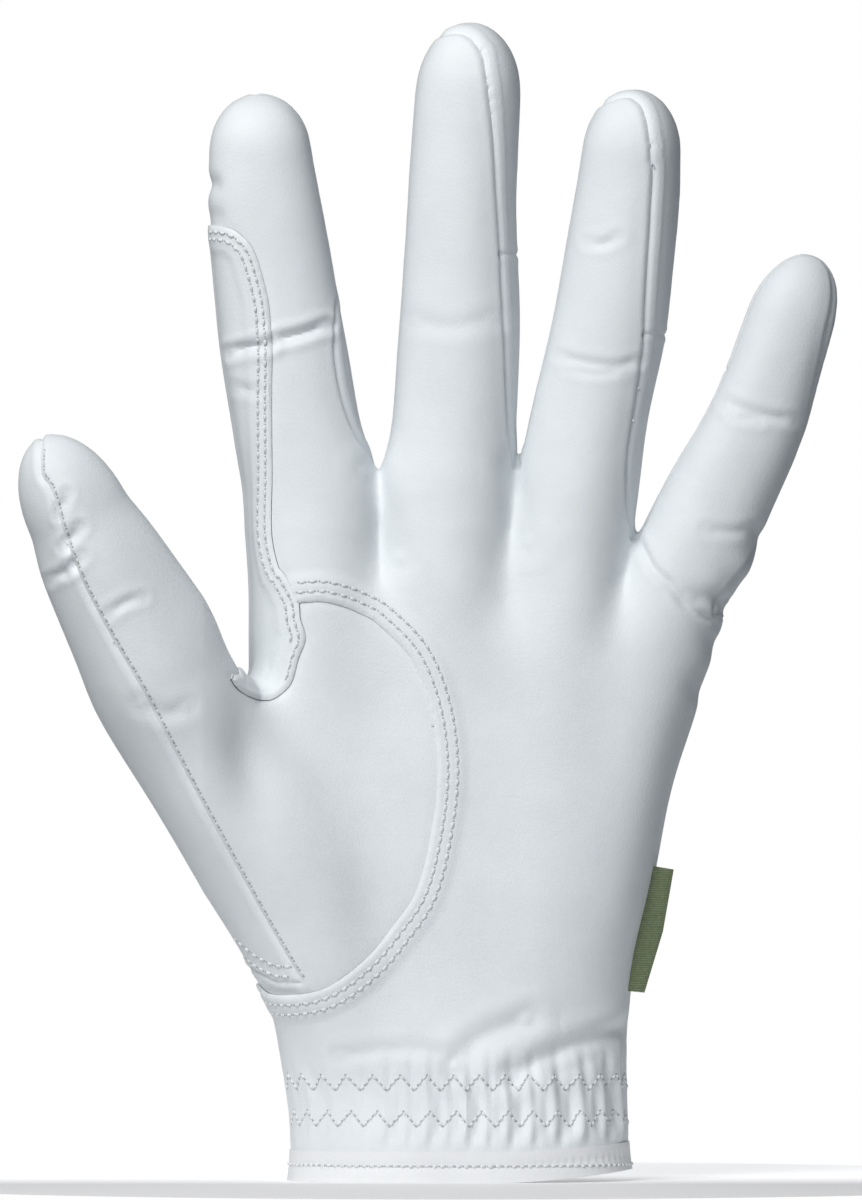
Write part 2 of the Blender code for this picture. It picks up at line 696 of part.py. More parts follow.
def main():
    leather = layer("leather_layer", FORM, -LEATHER, 0.0)
    hinges = make_hinges()
    block_box = palm_prism("finger_block", BLOCK_OUTLINE)
    boxes = {finger: hinges[finger].beyond(TIP_HALF_WIDTH) for finger in FINGERS}
    boxes["thumb_base"] = hinges["thumb_base"].beyond(THUMB_HALF_WIDTH)
    boxes["thumb_tip"] = hinges["thumb_tip"].beyond(THUMB_HALF_WIDTH)
    notches = {finger: hinges[finger].notch(NOTCH_REACH, TIP_HALF_WIDTH) for finger in FINGERS}
    notches["thumb_base"] = hinges["thumb_base"].notch(NOTCH_REACH, THUMB_HALF_WIDTH)
    notches["thumb_tip"] = hinges["thumb_tip"].notch(NOTCH_REACH, THUMB_HALF_WIDTH)
    notches["knuckle"] = hinges["knuckle"].notch(NOTCH_REACH, KNUCKLE_HALF_WIDTH)
    make_fingertips(leather, hinges, boxes, notches)
    make_finger_block(leather, hinges, block_box, boxes, notches)
    make_thumb(leather, hinges, boxes, notches)
    make_palm(leather, block_box, boxes, notches)
    make_wrist_parts()
    hang(hinges)


clear_scene()
GLOVE = new_collection("golf_glove")
CUTTERS = new_collection("cutters")
GUIDES = new_collection("guides")
MATERIAL = {name: make_material(name, *finish) for name, finish in MATERIALS.items()}
FORM = make_form()
WRIST_FORM = make_wrist_form()
HALVES = {
    "front": palm_prism("half_front", box_outline(-FAR), -FAR, -SEAM_GAP / 2),
    "back": palm_prism("half_back", box_outline(-FAR), SEAM_GAP / 2, FAR),
}
main()
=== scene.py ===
"""Looks of the left-hand golf glove: stitched leather in the shape of the hand that wears it.

One smooth skin is lofted from nearly the same rays as the CAD form: here the base of the
thumb is shallower, and one section of the middle finger narrower. The skin is shaped with
creases and gathers and cut along the seams into its pattern pieces, and each piece becomes a
sheet of leather with its own turned edges and stitches. Lengths are in millimetres until a
mesh is made; the palm faces -Y and the fingers point up.
"""

import math

import bmesh
import bpy
import numpy as np
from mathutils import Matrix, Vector, noise
from mathutils.bvhtree import BVHTree
from mathutils.kdtree import KDTree


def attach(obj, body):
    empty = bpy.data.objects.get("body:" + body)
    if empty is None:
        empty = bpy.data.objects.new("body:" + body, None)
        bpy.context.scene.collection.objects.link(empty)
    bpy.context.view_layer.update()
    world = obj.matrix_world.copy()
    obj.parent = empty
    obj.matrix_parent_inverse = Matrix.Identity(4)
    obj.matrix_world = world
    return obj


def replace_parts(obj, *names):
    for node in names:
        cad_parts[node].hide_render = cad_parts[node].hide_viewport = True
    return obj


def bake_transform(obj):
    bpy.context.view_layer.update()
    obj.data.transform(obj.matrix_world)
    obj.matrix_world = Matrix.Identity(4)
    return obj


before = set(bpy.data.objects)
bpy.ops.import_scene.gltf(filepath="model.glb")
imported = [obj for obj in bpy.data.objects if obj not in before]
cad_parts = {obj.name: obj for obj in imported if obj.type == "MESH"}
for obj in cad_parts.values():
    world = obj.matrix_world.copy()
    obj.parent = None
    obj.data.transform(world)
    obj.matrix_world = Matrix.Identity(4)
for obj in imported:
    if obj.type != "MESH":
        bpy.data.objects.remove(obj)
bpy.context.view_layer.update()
MM = 0.001

# ---- driving dimensions
LEATHER = 0.65            # thickness of the leather
RING_POINTS = 96          # corners of one cross-section
RING_POWER = 2.3          # superellipse power of a cross-section
RING_STEP = 2.0           # spacing of the cross-sections along a ray
SKIN_VOXEL = 0.60         # cell of the remesh that joins the rays
SKIN_SMOOTHING = 26       # smoothing passes everywhere
PALM_SMOOTHING = 340      # further passes on the palm and the back of the hand
TIP_RINGS = 12            # cross-sections of a rounded tip
HEM_TOP = 6.0             # height of the turned hem
SLIT_HALF = 2.6           # half width of the slit at the back of the wrist
SLIT_TOP = 46.0
BINDING = 3.0             # width of the slit's binding
WEB_Z = 98.4              # above this height the thumb stands apart from the hand
STRIP_BACK = 4.0          # depth at which the strip ends on the index finger's side
SNAP_REACH = 0.9          # vertices within this distance are moved onto a seam
SNAP_STEP = 0.7           # largest single move towards a seam
FAR = 1e3                 # distance given to a seam that doesn't bound a point
THUMB_TOP = 155           # the thumb lies below this height
FINGER_LOW, LITTLE_LOW = 122, 108      # lowest height of the fingers' own seams
STRIP_X, STRIP_Z = (-60, -28), (90, 190)    # the strip lies inside these
WRIST_RADIUS = 30.0       # turns an angle round the wrist into a length

# Length of the rounded tip, roll of the palm side towards the thumb in degrees, and then
# centre x, y, z, half width and half depth of each cross-section.
RAYS = {
    "palm": (10, 0, (
        (-0.5, 0, -12, 33.7, 21.5), (-0.5, 0, 14, 33.4, 21), (-1.8, 0, 27, 34.4, 20),
        (-1, 0, 42, 35, 19), (0, 0, 62, 38.5, 17.5), (1, 0, 85, 42, 15.5), (4.5, 0, 104, 44.5, 13.5))),
    "index": (12, 4, (
        (-23, 0, 60, 14, 16), (-27.5, 0, 95, 13.8, 15), (-28.8, 0, 119, 13, 13.2),
        (-29.3, 0, 134, 13.1, 12), (-31.9, 0, 146, 12.3, 11.2), (-35.3, -0.5, 167, 12, 10.4),
        (-38.4, -2, 190, 10.9, 9.8), (-39.3, -3, 200, 10, 8.8))),
    "middle": (14, 16, (
        (-2, 0, 60, 15, 17), (-2.6, 0, 95, 14, 15.5), (-2.7, 0, 119, 13, 13.6),
        (-2.9, 0, 134, 13.2, 12.4), (-1.6, 0, 146, 12.1, 11.5), (-0.4, -0.5, 170, 11.6, 10.6),
        (0.1, -1.5, 192, 10.5, 9.8), (1.2, -3, 212, 10.1, 9))),
    "ring": (13, 18, (
        (16, 0, 60, 15, 17), (18.5, 0, 95, 13.5, 15), (20.5, 0, 120, 12.2, 13),
        (24.2, 0, 145, 11.3, 11.2), (28.7, -0.5, 166, 11, 10.4), (32.1, -1.5, 190, 10.2, 9.6),
        (33.1, -3, 200, 9.6, 8.8))),
    "little": (15.7, -4, (
        (24, 0, 50, 11, 15), (31.2, 0, 85, 11.2, 14), (40.5, 0, 112, 11, 12),
        (49.5, 0, 131.8, 10.5, 10.2), (57.6, -1, 148.3, 9.5, 9), (63.5, -2.5, 165.7, 8.6, 7.8))),
    "thumb": (17.8, -36, (
        (-20, -4, 28, 13.5, 14.5), (-27, -7, 45, 14.5, 14.8), (-39.5, -10, 70, 16, 14.8),
        (-56.8, -16, 94.9, 13.7, 14), (-60.7, -18, 103.6, 14.1, 13.5), (-70, -22, 121, 11.9, 11.5),
        (-74.1, -24, 129.2, 9.9, 9.8))),
}
FINGERS = ("index", "middle", "ring", "little")
# Where the side seams start, left and right of each finger. The strip covers the index
# finger's left side.
SEAM_FOOT = {"index": (None, 139.4), "middle": (139.4, 140.8), "ring": (140.8, 126.8),
             "little": (126.8, 112)}

# Seams as they lie in the plane of the palm, x then z.
RIGHT_SEAM = {
    "index": ((-17.2, 139.4), (-20.7, 144.3), (-24.2, 155.4), (-25, 166), (-24, 180),
              (-24, 200), (-24, 212)),
    "middle": ((10.2, 141), (9.2, 144.3), (8.2, 166.7), (7.6, 181.9), (6.8, 192.5),
               (6, 205.1), (4.1, 217.8), (2.4, 225.6)),
    "ring": ((33, 126.6), (32, 130.8), (32, 140.6), (33.2, 149.6), (35.1, 162.8),
             (35.7, 171.4), (36.7, 188.2), (36.9, 200.9), (33.4, 212.6)),
    "little": ((48.6, 112), (53, 120), (57.6, 128), (63.6, 142), (67.6, 153),
               (70.2, 165), (69.8, 174), (67.2, 181)),
}
# Where the palm-side leather ends short of a fingertip, in x and z.
TIP_SEAM = {
    "middle": ((-12.5, 214), (-9.6, 218.6), (-7.2, 221.2), (-4.9, 222.7), (-2, 223.6),
               (0.8, 223.2), (3.3, 220.6), (4.9, 215.9), (6.3, 205)),
    "ring": ((21, 202), (23.6, 206), (26.5, 209), (28.9, 210.4), (31.2, 211.2),
             (33.3, 210.9), (35.5, 208.4), (36.6, 202.6), (37, 196)),
}
CROSS_SEAM = {"index": 182, "middle": 180.4, "ring": 164.8, "little": 158.0}
LEFT_ANGLE = 84.0         # the palm-side leather wraps this far round a finger's left side
BACK_ANGLE = 128.0        # and the back leather starts here, on both sides
THUMB_SEAM = ((-81, 150), (-81.7, 138.5), (-79.6, 134.4), (-77.2, 126.2), (-73.9, 117.2),
              (-68.6, 106.9), (-61.6, 94.8), (-52.7, 77.6), (-41.5, 56.9), (-33.9, 43.5),
              (-31, 38.9))
FOOT = ((-52, -43.5, -40, -36.3, -31), (50, 43.4, 40.6, 38.8, 38.6))   # x, then z
THUMB_BACK_SEAM = ((-100, 177), (-74, 141.5), (-57, 118.5), (-45, 99.5),
                   (-39.5, 88), (-37, 70), (-36, 36))
LIP = ((-80, 76), (-60, 58), (-50, 49.3), (-43.3, 42.3), (-40.2, 39), (-36.4, 36.4),
       (-27.1, 37.6), (-19.1, 43.1), (-13.3, 49.9), (-8.8, 56.8), (-6, 67.7), (-4.7, 79.8),
       (-6, 91.5), (-9.8, 101.5), (-16.2, 108.3), (-20.1, 110.6), (-23.6, 112), (-27.5, 112.8),
       (-31.5, 112.6), (-38, 113), (-60, 118), (-95, 130))
STRIP_EDGE = ((-54, 186.2), (-48.2, 186), (-44.8, 185.3), (-42.7, 183.9), (-40.6, 181.4),
              (-39, 176.9), (-37.6, 171), (-37.2, 166.5), (-36.9, 161.9), (-37, 151.7),
              (-36.9, 137.7), (-37, 126.4), (-35.7, 119.7), (-34.5, 118.2), (-31.8, 112.9),
              (-31.4, 109.6), (-30.4, 105.7), (-31.8, 101.6), (-33, 97.3), (-34.9, 95),
              (-37.4, 93.6), (-40.4, 94), (-43.6, 95.9), (-45.4, 99), (-48, 104), (-54, 112))
# Between the thumb and the index finger: height, then x.
DIVIDER = ((98.0, -43.3), (101.4, -43.6), (107.0, -44.2), (113.0, -45.6), (119.0, -48.0),
           (125.0, -50.5), (143.0, -60.0), (150.0, -66.0))


# ---- curves and rays
def smooth_curve(points, step=0.5):
    """Catmull-Rom curve through points, sampled every step or so."""
    points = np.array(points, float)
    padded = np.vstack((2 * points[0] - points[1], points, 2 * points[-1] - points[-2]))
    out = []
    for index in range(1, len(padded) - 2):
        a, b, c, d = padded[index - 1:index + 3]
        count = max(int(np.linalg.norm(c - b) / step), 1)
        for t in np.arange(count) / count:
            out.append(0.5 * ((2 * b) + (c - a) * t + (2 * a - 5 * b + 4 * c - d) * t ** 2
                              + (3 * b - a - 3 * c + d) * t ** 3))
    out.append(points[-1])
    return np.array(out)


def unit(vectors):
    return vectors / np.maximum(np.linalg.norm(vectors, axis=-1, keepdims=True), 1e-9)


class Ray:
    """The palm, or a finger or thumb with the part that carries it, by height."""

    def __init__(self, name):
        self.dome, roll, sections = RAYS[name]
        rows = smooth_curve(sections, RING_STEP)
        self.z = rows[:, 2]
        self.centre, self.half = rows[:, :3], rows[:, 3:5]
        along = unit(np.gradient(self.centre, axis=0))
        roll = math.radians(roll)
        front = np.array((-math.sin(roll), -math.cos(roll), 0.0))
        front = unit(front - along * (along @ front)[:, None])
        self.along, self.front = along, front
        self.side = np.cross(along, front)

    def at(self, z, rows):
        return np.stack([np.interp(z, self.z, rows[:, k]) for k in range(rows.shape[1])], -1)

    def around(self, points):
        """Angle round the ray, 0 in front and positive to the right, its metric radius and
        the normalised distance from the centre line."""
        z = points[:, 2]
        for _ in range(2):
            centre = self.at(z, self.centre)
            along = unit(self.at(z, self.along))
            z = z + ((points - centre) * along).sum(-1) * along[:, 2]
        centre, half = self.at(z, self.centre), self.at(z, self.half)
        u = ((points - centre) * self.at(z, self.side)).sum(-1) / half[:, 0]
        v = ((points - centre) * self.at(z, self.front)).sum(-1) / half[:, 1]
        return np.arctan2(u, v), half.mean(-1), np.hypot(u, v)

    def rings(self):
        """Cross-sections from the bottom to the rounded tip."""
        turns = np.linspace(0, 2 * np.pi, RING_POINTS, endpoint=False)
        c, s = np.cos(turns), np.sin(turns)
        ring_u = np.sign(s) * np.abs(s) ** (2 / RING_POWER)
        ring_v = np.sign(c) * np.abs(c) ** (2 / RING_POWER)
        places = [(self.centre[k], self.half[k], k) for k in range(len(self.z))]
        top, last = self.centre[-1], self.half[-1]
        for k in range(1, TIP_RINGS + 1):
            turn = math.pi / 2 * k / (TIP_RINGS + 0.4)
            places.append((top + self.along[-1] * self.dome * math.sin(turn),
                           last * math.cos(turn), -1))
        for centre, half, k in places:
            yield (centre + np.outer(ring_u * half[0], self.side[k])
                   + np.outer(ring_v * half[1], self.front[k]))


RAY = {name: Ray(name) for name in RAYS}


def polyline_distance(points, curve):
    """Signed distance of 2D points from a curve: positive on its left, going along it."""
    best = np.full(len(points), 1e9)
    sign = np.ones(len(points))
    for a, b in zip(curve[:-1], curve[1:]):
        d = b - a
        t = np.clip(((points - a) @ d) / max(d @ d, 1e-12), 0, 1)
        gap = points - a - t[:, None] * d
        dist = np.hypot(gap[:, 0], gap[:, 1])
        side = d[0] * (points[:, 1] - a[1]) - d[1] * (points[:, 0] - a[0])
        nearer = dist < best
        best[nearer], sign[nearer] = dist[nearer], np.where(side[nearer] >= 0, 1.0, -1.0)
    return best * sign


# ---- the skin
def build_skin():
    """The rays lofted one by one and joined by a remesh."""
    mesh = bmesh.new()
    for ray in RAY.values():
        rings = [[mesh.verts.new(p * MM) for p in ring] for ring in ray.rings()]
        for low, high in zip(rings[:-1], rings[1:]):
            for k in range(RING_POINTS):
                j = (k + 1) % RING_POINTS
                mesh.faces.new((low[k], low[j], high[j], high[k]))
        mesh.faces.new(list(reversed(rings[0])))
        mesh.faces.new(rings[-1])
    bmesh.ops.recalc_face_normals(mesh, faces=mesh.faces)
    data = bpy.data.meshes.new("skin")
    mesh.to_mesh(data)
    mesh.free()
    obj = bpy.data.objects.new("skin", data)
    bpy.context.scene.collection.objects.link(obj)
    remesh = obj.modifiers.new("join", "REMESH")
    remesh.mode = "VOXEL"
    remesh.voxel_size = SKIN_VOXEL * MM
    evaluated = obj.evaluated_get(bpy.context.evaluated_depsgraph_get())
    data = bpy.data.meshes.new_from_object(evaluated)
    bpy.data.objects.remove(obj)
    mesh = bmesh.new()
    mesh.from_mesh(data)
    bpy.data.meshes.remove(data)
    return mesh


class Skin:
    """Vertices, faces and neighbours of the skin as arrays, in millimetres."""

    def __init__(self, mesh):
        bmesh.ops.triangulate(mesh, faces=[f for f in mesh.faces if len(f.verts) > 4])
        mesh.verts.index_update()
        self.co = np.array([v.co for v in mesh.verts]) / MM
        self.quads = np.array([[v.index for v in f.verts] if len(f.verts) == 4 else
                               [v.index for v in f.verts] + [-1] for f in mesh.faces])
        self.edges = np.array([[v.index for v in e.verts] for e in mesh.edges])
        links = [[f.index for f in e.link_faces] for e in mesh.edges]
        self.edge_faces = np.array([(f + [-1, -1])[:2] for f in links])
        self.degree = np.bincount(self.edges.ravel(), minlength=len(self.co)).astype(float)
        mesh.free()

    def average(self, values):
        """Mean over the neighbours of every vertex."""
        a, b = self.edges[:, 0], self.edges[:, 1]
        count = len(self.co)
        if values.ndim == 1:
            total = np.bincount(a, values[b], count) + np.bincount(b, values[a], count)
            return total / self.degree
        return np.stack([self.average(values[:, k]) for k in range(values.shape[1])], -1)

    def smooth(self, passes, weight=0.5, fixed=None):
        for _ in range(passes):
            step = (self.average(self.co) - self.co) * (
                weight if np.isscalar(weight) else weight[:, None])
            if fixed is not None:
                step[fixed] = 0
            self.co = self.co + step

    def corners(self):
        q = self.quads
        last = np.where(q[:, 3] < 0, q[:, 2], q[:, 3])
        return self.co[q[:, 0]], self.co[q[:, 1]], self.co[q[:, 2]], self.co[last]

    def face_centres(self):
        a, b, c, d = self.corners()
        return (a + b + c + d) / 4

    def normals(self):
        a, b, c, d = self.corners()
        n = np.cross(c - a, d - b)
        tri = self.quads[:, 3] < 0
        n[tri] = np.cross(b[tri] - a[tri], c[tri] - a[tri])
        out = np.zeros_like(self.co)
        for k in range(4):
            index = self.quads[:, k]
            good = index >= 0
            for axis in range(3):
                out[:, axis] += np.bincount(index[good], n[good, axis], len(self.co))
        return unit(out)


# ---- pattern and bodies
FRONT, BACK, STRIP, THUMB_FRONT, THUMB_BACK, HEM, SLIT, GUSSET, BIND = range(9)
PANEL_NAME = {FRONT: "front", BACK: "back", STRIP: "strip", THUMB_FRONT: "thumb_front",
              THUMB_BACK: "thumb_back", HEM: "hem", GUSSET: "gusset", BIND: "slit_binding"}
BINDINGS = (HEM, BIND)
LIP_CURVE = smooth_curve(LIP)
STRIP_CURVE = smooth_curve(STRIP_EDGE)
TIP_CURVE = {finger: smooth_curve(points) for finger, points in TIP_SEAM.items()}
THUMB_CURVE = smooth_curve(THUMB_SEAM)
THUMB_BACK_CURVE = smooth_curve(THUMB_BACK_SEAM)


def seam_angle(finger):
    """Heights and angles of the seam on a finger's right side."""
    ray, curve = RAY[finger], smooth_curve(RIGHT_SEAM[finger])
    heights = np.arange(curve[0][1], curve[-1][1], 0.5)
    wanted = np.interp(heights, curve[:, 1], curve[:, 0])
    turns = np.radians(np.arange(20.0, 100.0, 1.0))
    u, v = np.sin(turns), np.cos(turns)
    scale = (np.abs(u) ** RING_POWER + np.abs(v) ** RING_POWER) ** (-1 / RING_POWER)
    angles = []
    for z, x in zip(heights, wanted):
        zz = min(z, ray.z[-1])
        centre, half = ray.at(zz, ray.centre), ray.at(zz, ray.half)
        side, front = ray.at(zz, ray.side), ray.at(zz, ray.front)
        shrink = math.sqrt(max(1 - (max(z - zz, 0) / ray.dome) ** 2, 0.02))
        reach = centre[0] + shrink * scale * (u * half[0] * side[0] + v * half[1] * front[0])
        top = int(np.argmax(reach))
        angles.append(turns[min(int(np.searchsorted(reach[:top + 1], x)), top)])
    kernel = np.ones(9) / 9
    return heights, np.convolve(np.pad(angles, 4, mode="edge"), kernel, "valid")


SEAM_ANGLE = {finger: seam_angle(finger) for finger in FINGERS}


def segment_along(name, height):
    """Direction of a ray between the two sections that a height lies between."""
    _, _, sections = RAYS[name]
    pairs = zip(sections, sections[1:])
    return next(unit(np.subtract(b[:3], a[:3])) for a, b in pairs if a[2] <= height <= b[2])


# Joint point, direction along the finger, the bodies on its two sides and how far the
# leather bends before and after it.
HINGES = {
    "knuckle": (np.array((4.0, -6.0, 116.0)), np.array((0.196116, 0.0, 0.980581)),
                "palm", "fingers", 8.0, 13.0),
    "index": (np.array((-35.01, -3.42, 163.90)), segment_along("index", 164.0),
              "fingers", "index_tip", 9.0, 9.0),
    "middle": (np.array((-1.38, -3.32, 166.98)), segment_along("middle", 167.0),
               "fingers", "middle_tip", 9.0, 9.0),
    "ring": (np.array((26.49, -3.21, 160.13)), segment_along("ring", 160.0),
             "fingers", "ring_tip", 9.0, 9.0),
    "little": (np.array((58.30, -4.13, 149.70)), segment_along("little", 150.0),
               "fingers", "little_tip", 8.5, 8.5),
    "thumb_base": (np.array((-57.27, -19.55, 100.27)), segment_along("thumb", 100.0),
                   "palm", "thumb_middle", 8.5, 8.0),
    "thumb_end": (np.array((-66.08, -23.46, 117.41)), segment_along("thumb", 117.0),
                  "thumb_middle", "thumb_tip", 8.5, 8.5),
}
ZONES = ["palm", "fingers", "thumb_middle", "thumb_tip"] + [f + "_tip" for f in FINGERS] + [
    "bend_" + name for name in HINGES] + ["tab"]


def divider(z):
    """The x between the thumb and the index finger at each height."""
    return np.interp(z, *np.array(DIVIDER).T)


def nearest_finger(points):
    gaps = np.stack([RAY[f].around(points)[2] for f in FINGERS])
    return np.argmin(gaps, 0)


def zones_of(points):
    """Index into ZONES for every point."""
    x, z = points[:, 0], points[:, 2]
    out = np.zeros(len(points), int)
    reach = {name: (points - h[0]) @ h[1] for name, h in HINGES.items()}

    def assign(mask, name, body):
        _, _, _, _, before, after = HINGES[name]
        t = reach[name]
        out[mask & (t > -before)] = ZONES.index("bend_" + name)
        out[mask & (t > after)] = ZONES.index(body)

    thumb = (x < divider(z)) & (z > 85)
    assign(~thumb, "knuckle", "fingers")
    near = nearest_finger(points)
    for k, finger in enumerate(FINGERS):
        assign(~thumb & (near == k) & (z > 138), finger, finger + "_tip")
    assign(thumb, "thumb_base", "thumb_middle")
    assign(thumb, "thumb_end", "thumb_tip")
    return out


def survey(points):
    """The panel of every point, and signed distances to the seams that bound it."""
    x, y, z = points.T
    flat = points[:, [0, 2]]
    fields = []

    def bound(mask, distance):
        fields.append(np.where(mask, distance, FAR))

    label = np.where(y < 0, FRONT, BACK)
    near = nearest_finger(points)
    on_thumb = (x < divider(z)) & (z > WEB_Z) & (z < THUMB_TOP)
    bound((z < 128) | (x < -40), y)
    for k, finger in enumerate(FINGERS):
        theta, radius, _ = RAY[finger].around(points)
        lowest = LITTLE_LOW if finger == "little" else FINGER_LOW
        mine = (near == k) & (z > lowest) & ~on_thumb
        at_right = (theta - np.interp(z, *SEAM_ANGLE[finger])) * radius
        at_left = (-theta - math.radians(LEFT_ANGLE)) * radius
        behind = (np.abs(theta) - math.radians(BACK_ANGLE)) * radius
        left_foot, right_foot = SEAM_FOOT[finger]
        cross = z - CROSS_SEAM[finger]
        for angle, start, positive in ((at_right, right_foot, True), (at_left, left_foot, False)):
            if start is None:
                continue
            side = mine & ((theta > 0) == positive) & (z > start - 1.5)
            wall = side & (angle > 0)
            if finger == "little" and positive:
                label[side] = np.where(angle[side] > 0, BACK, FRONT)
            else:
                label[side & (angle <= 0)] = FRONT
                label[wall & (behind > 0)] = BACK
                label[wall & (behind <= 0)] = GUSSET
                label[wall & (cross > 0)] = BACK
                bound(side & (cross < 1), behind)
                bound(wall & (behind < 1), cross)
            bound(side, angle)
        if finger in TIP_SEAM:
            curve = TIP_CURVE[finger]
            tip = mine & (y < 4) & (z > curve[:, 1].min() + 2)
            over = polyline_distance(flat, curve)
            label[tip & (over > 0)] = BACK
            label[tip & (over <= 0) & (label == GUSSET)] = FRONT
            bound(tip, over)
    strip = polyline_distance(flat, STRIP_CURVE)
    within = ~on_thumb & (x > STRIP_X[0]) & (x < STRIP_X[1]) & (z > STRIP_Z[0]) & (z < STRIP_Z[1])
    seam = polyline_distance(flat, THUMB_CURVE)      # positive on the palm's side
    back_seam = polyline_distance(flat, THUMB_BACK_CURVE)
    foot = z - np.interp(x, *FOOT)
    lip = polyline_distance(flat, LIP_CURVE)
    ahead = y < RAY["thumb"].at(z, RAY["thumb"].centre)[:, 1] + 2.0
    low_thumb = (z <= WEB_Z) & (z > 34) & (x < 0)
    palm_side = ~on_thumb & (y < -2) & (z > 30) & (z < 120) & (x < 0)
    label[palm_side & (lip > 0)] = THUMB_FRONT
    bound(palm_side & ((seam > -1) | (foot < 1) | (z > 95)), lip)
    label[on_thumb] = THUMB_FRONT
    thumb = low_thumb | on_thumb
    label[thumb & (foot > 0) & np.where(ahead, seam < 0, back_seam < 0)] = THUMB_BACK
    bound(thumb & ahead & (foot > -1), seam)
    bound(thumb & ~ahead & (foot > -1), back_seam)
    sided = np.where(ahead, seam < 1, back_seam < 1)
    bound((low_thumb | (foot <= 0)) & sided & (x < -28), foot)
    label[within & (strip < 0) & (y < STRIP_BACK)] = STRIP
    bound(within & (y < STRIP_BACK + 1), strip)
    bound(within & (strip < 1), y - STRIP_BACK)
    label[z < HEM_TOP] = HEM
    fields.append(z - HEM_TOP)
    slit = np.where(z < SLIT_TOP, np.abs(x), np.hypot(x, z - SLIT_TOP)) - SLIT_HALF
    label[(slit < BINDING) & (y > 0) & (z >= HEM_TOP)] = BIND
    label[(slit < 0) & (y > 0)] = SLIT
    at_slit = (y > 0) & (z < SLIT_TOP + 8)
    bound(at_slit, slit)
    bound(at_slit & (z > HEM_TOP - 1), slit - BINDING)
    return label, np.stack(fields)


def snap_to_seams(skin):
    """Moves the vertices on seams so that the edges between panels run true."""
    face_label, _ = survey(skin.face_centres())
    a, b = skin.edge_faces.T
    inner = b >= 0
    differ = np.zeros(len(a), bool)
    differ[inner] = face_label[a[inner]] != face_label[b[inner]]
    seam = np.unique(skin.edges[differ])
    normal = skin.normals()
    probe = 0.05
    for _ in range(2):
        points = skin.co[seam]
        _, here = survey(points)
        pick = np.argmin(np.abs(here), 0)
        value = here[pick, np.arange(len(seam))]
        gradient = np.zeros_like(points)
        for axis in range(3):
            shift = np.zeros(3)
            shift[axis] = probe
            plus = survey(points + shift)[1][pick, np.arange(len(seam))]
            minus = survey(points - shift)[1][pick, np.arange(len(seam))]
            good = (np.abs(plus) < 50) & (np.abs(minus) < 50)
            gradient[good, axis] = (plus - minus)[good] / (2 * probe)
        n = normal[seam]
        gradient -= n * (gradient * n).sum(-1, keepdims=True)
        length = (gradient ** 2).sum(-1)
        ok = (np.abs(value) < SNAP_REACH) & (length > 0.05)
        move = np.where(ok, -value / np.maximum(length, 0.05), 0.0)[:, None] * gradient
        size = np.linalg.norm(move, axis=1, keepdims=True)
        skin.co[seam] = points + move * np.minimum(1, SNAP_STEP / np.maximum(size, 1e-9))
    fixed = np.zeros(len(skin.co), bool)
    fixed[seam] = True
    near = fixed.astype(float)
    for _ in range(3):
        near = np.maximum(near, (skin.average(near) > 0).astype(float) * 0.9)
    near[fixed] = 0
    for _ in range(4):
        step = (skin.average(skin.co) - skin.co) * 0.4 * near[:, None]
        step -= normal * (step * normal).sum(-1, keepdims=True)
        skin.co = skin.co + step
    return face_label


# ---- shaping
def bell(distance, width):
    return np.exp(-(distance / width) ** 2)


# Creases on the palm side: the line in x and z, depth and half width.
CREASES = (
    (((-45.2, 161.3), (-41, 162.4), (-37.6, 162.6)), 1.1, 1),
    (((-36.6, 163.6), (-31.5, 164.8), (-26.4, 166.6)), 1.05, 1),
    (((-44.5, 154.6), (-39.5, 153.6)), 0.35, 1),
    (((24.6, 182.6), (27.5, 182.3), (30.4, 183.8)), 0.35, 0.9),
    (((19, 160.6), (24.5, 159.2), (30, 158.7), (34.6, 159.7)), 0.42, 0.9),
    (((20.5, 158.2), (26, 157), (31.5, 157.4)), 0.3, 0.8),
    (((51.2, 151.6), (57, 149.4), (64.4, 148)), 0.45, 1),
    (((52.5, 149), (57.5, 147.6)), 0.4, 0.8),
    (((47.5, 126.9), (52.5, 126.3), (57, 127)), 0.3, 1),
    (((33.6, 126), (36.9, 119.7), (40.4, 116.2), (44.3, 111.5), (50, 108.4)), 0.6, 0.8),
    (((44, 113.5), (48.5, 113.6), (51.5, 112.6)), 0.35, 1.4),
    (((-1.6, 22.4), (3, 27.8), (12.8, 31.8)), 0.75, 2),
    (((9, 20.6), (18.3, 25), (28, 28.2), (38, 30.4)), 1.1, 2),
    (((17.3, 20.6), (23, 22.6), (29, 25)), 0.35, 1.4),
    (((-24, 24.5), (-12, 26), (-2, 25)), 0.35, 1.4),
    (((-68.4, 110.4), (-65, 112.6), (-61.8, 113.6)), 0.45, 0.9),
    (((-76.4, 133.6), (-77.8, 129.6)), 0.55, 0.9),
    (((-73.8, 127.2), (-77, 123.4)), 0.65, 0.9), (((-73.4, 121.6), (-76.4, 118.4)), 0.5, 0.9),
    (((-75.6, 119.4), (-80, 116.9)), 0.6, 0.9),
    (((-46, 42.6), (-40, 38.6), (-36, 37), (-31, 36.8)), 0.55, 0.9),
    (((-62.5, 93), (-57.5, 91), (-53, 92.5)), 0.35, 1.5),
    (((-18.5, 138), (-13.5, 129), (-12, 121)), 0.35, 2.2),
    (((9.6, 139), (12, 131), (13, 124)), 0.35, 2.2),
    (((-9.5, 167.5), (-2, 166.2), (6.5, 168)), 0.22, 1.6),
)
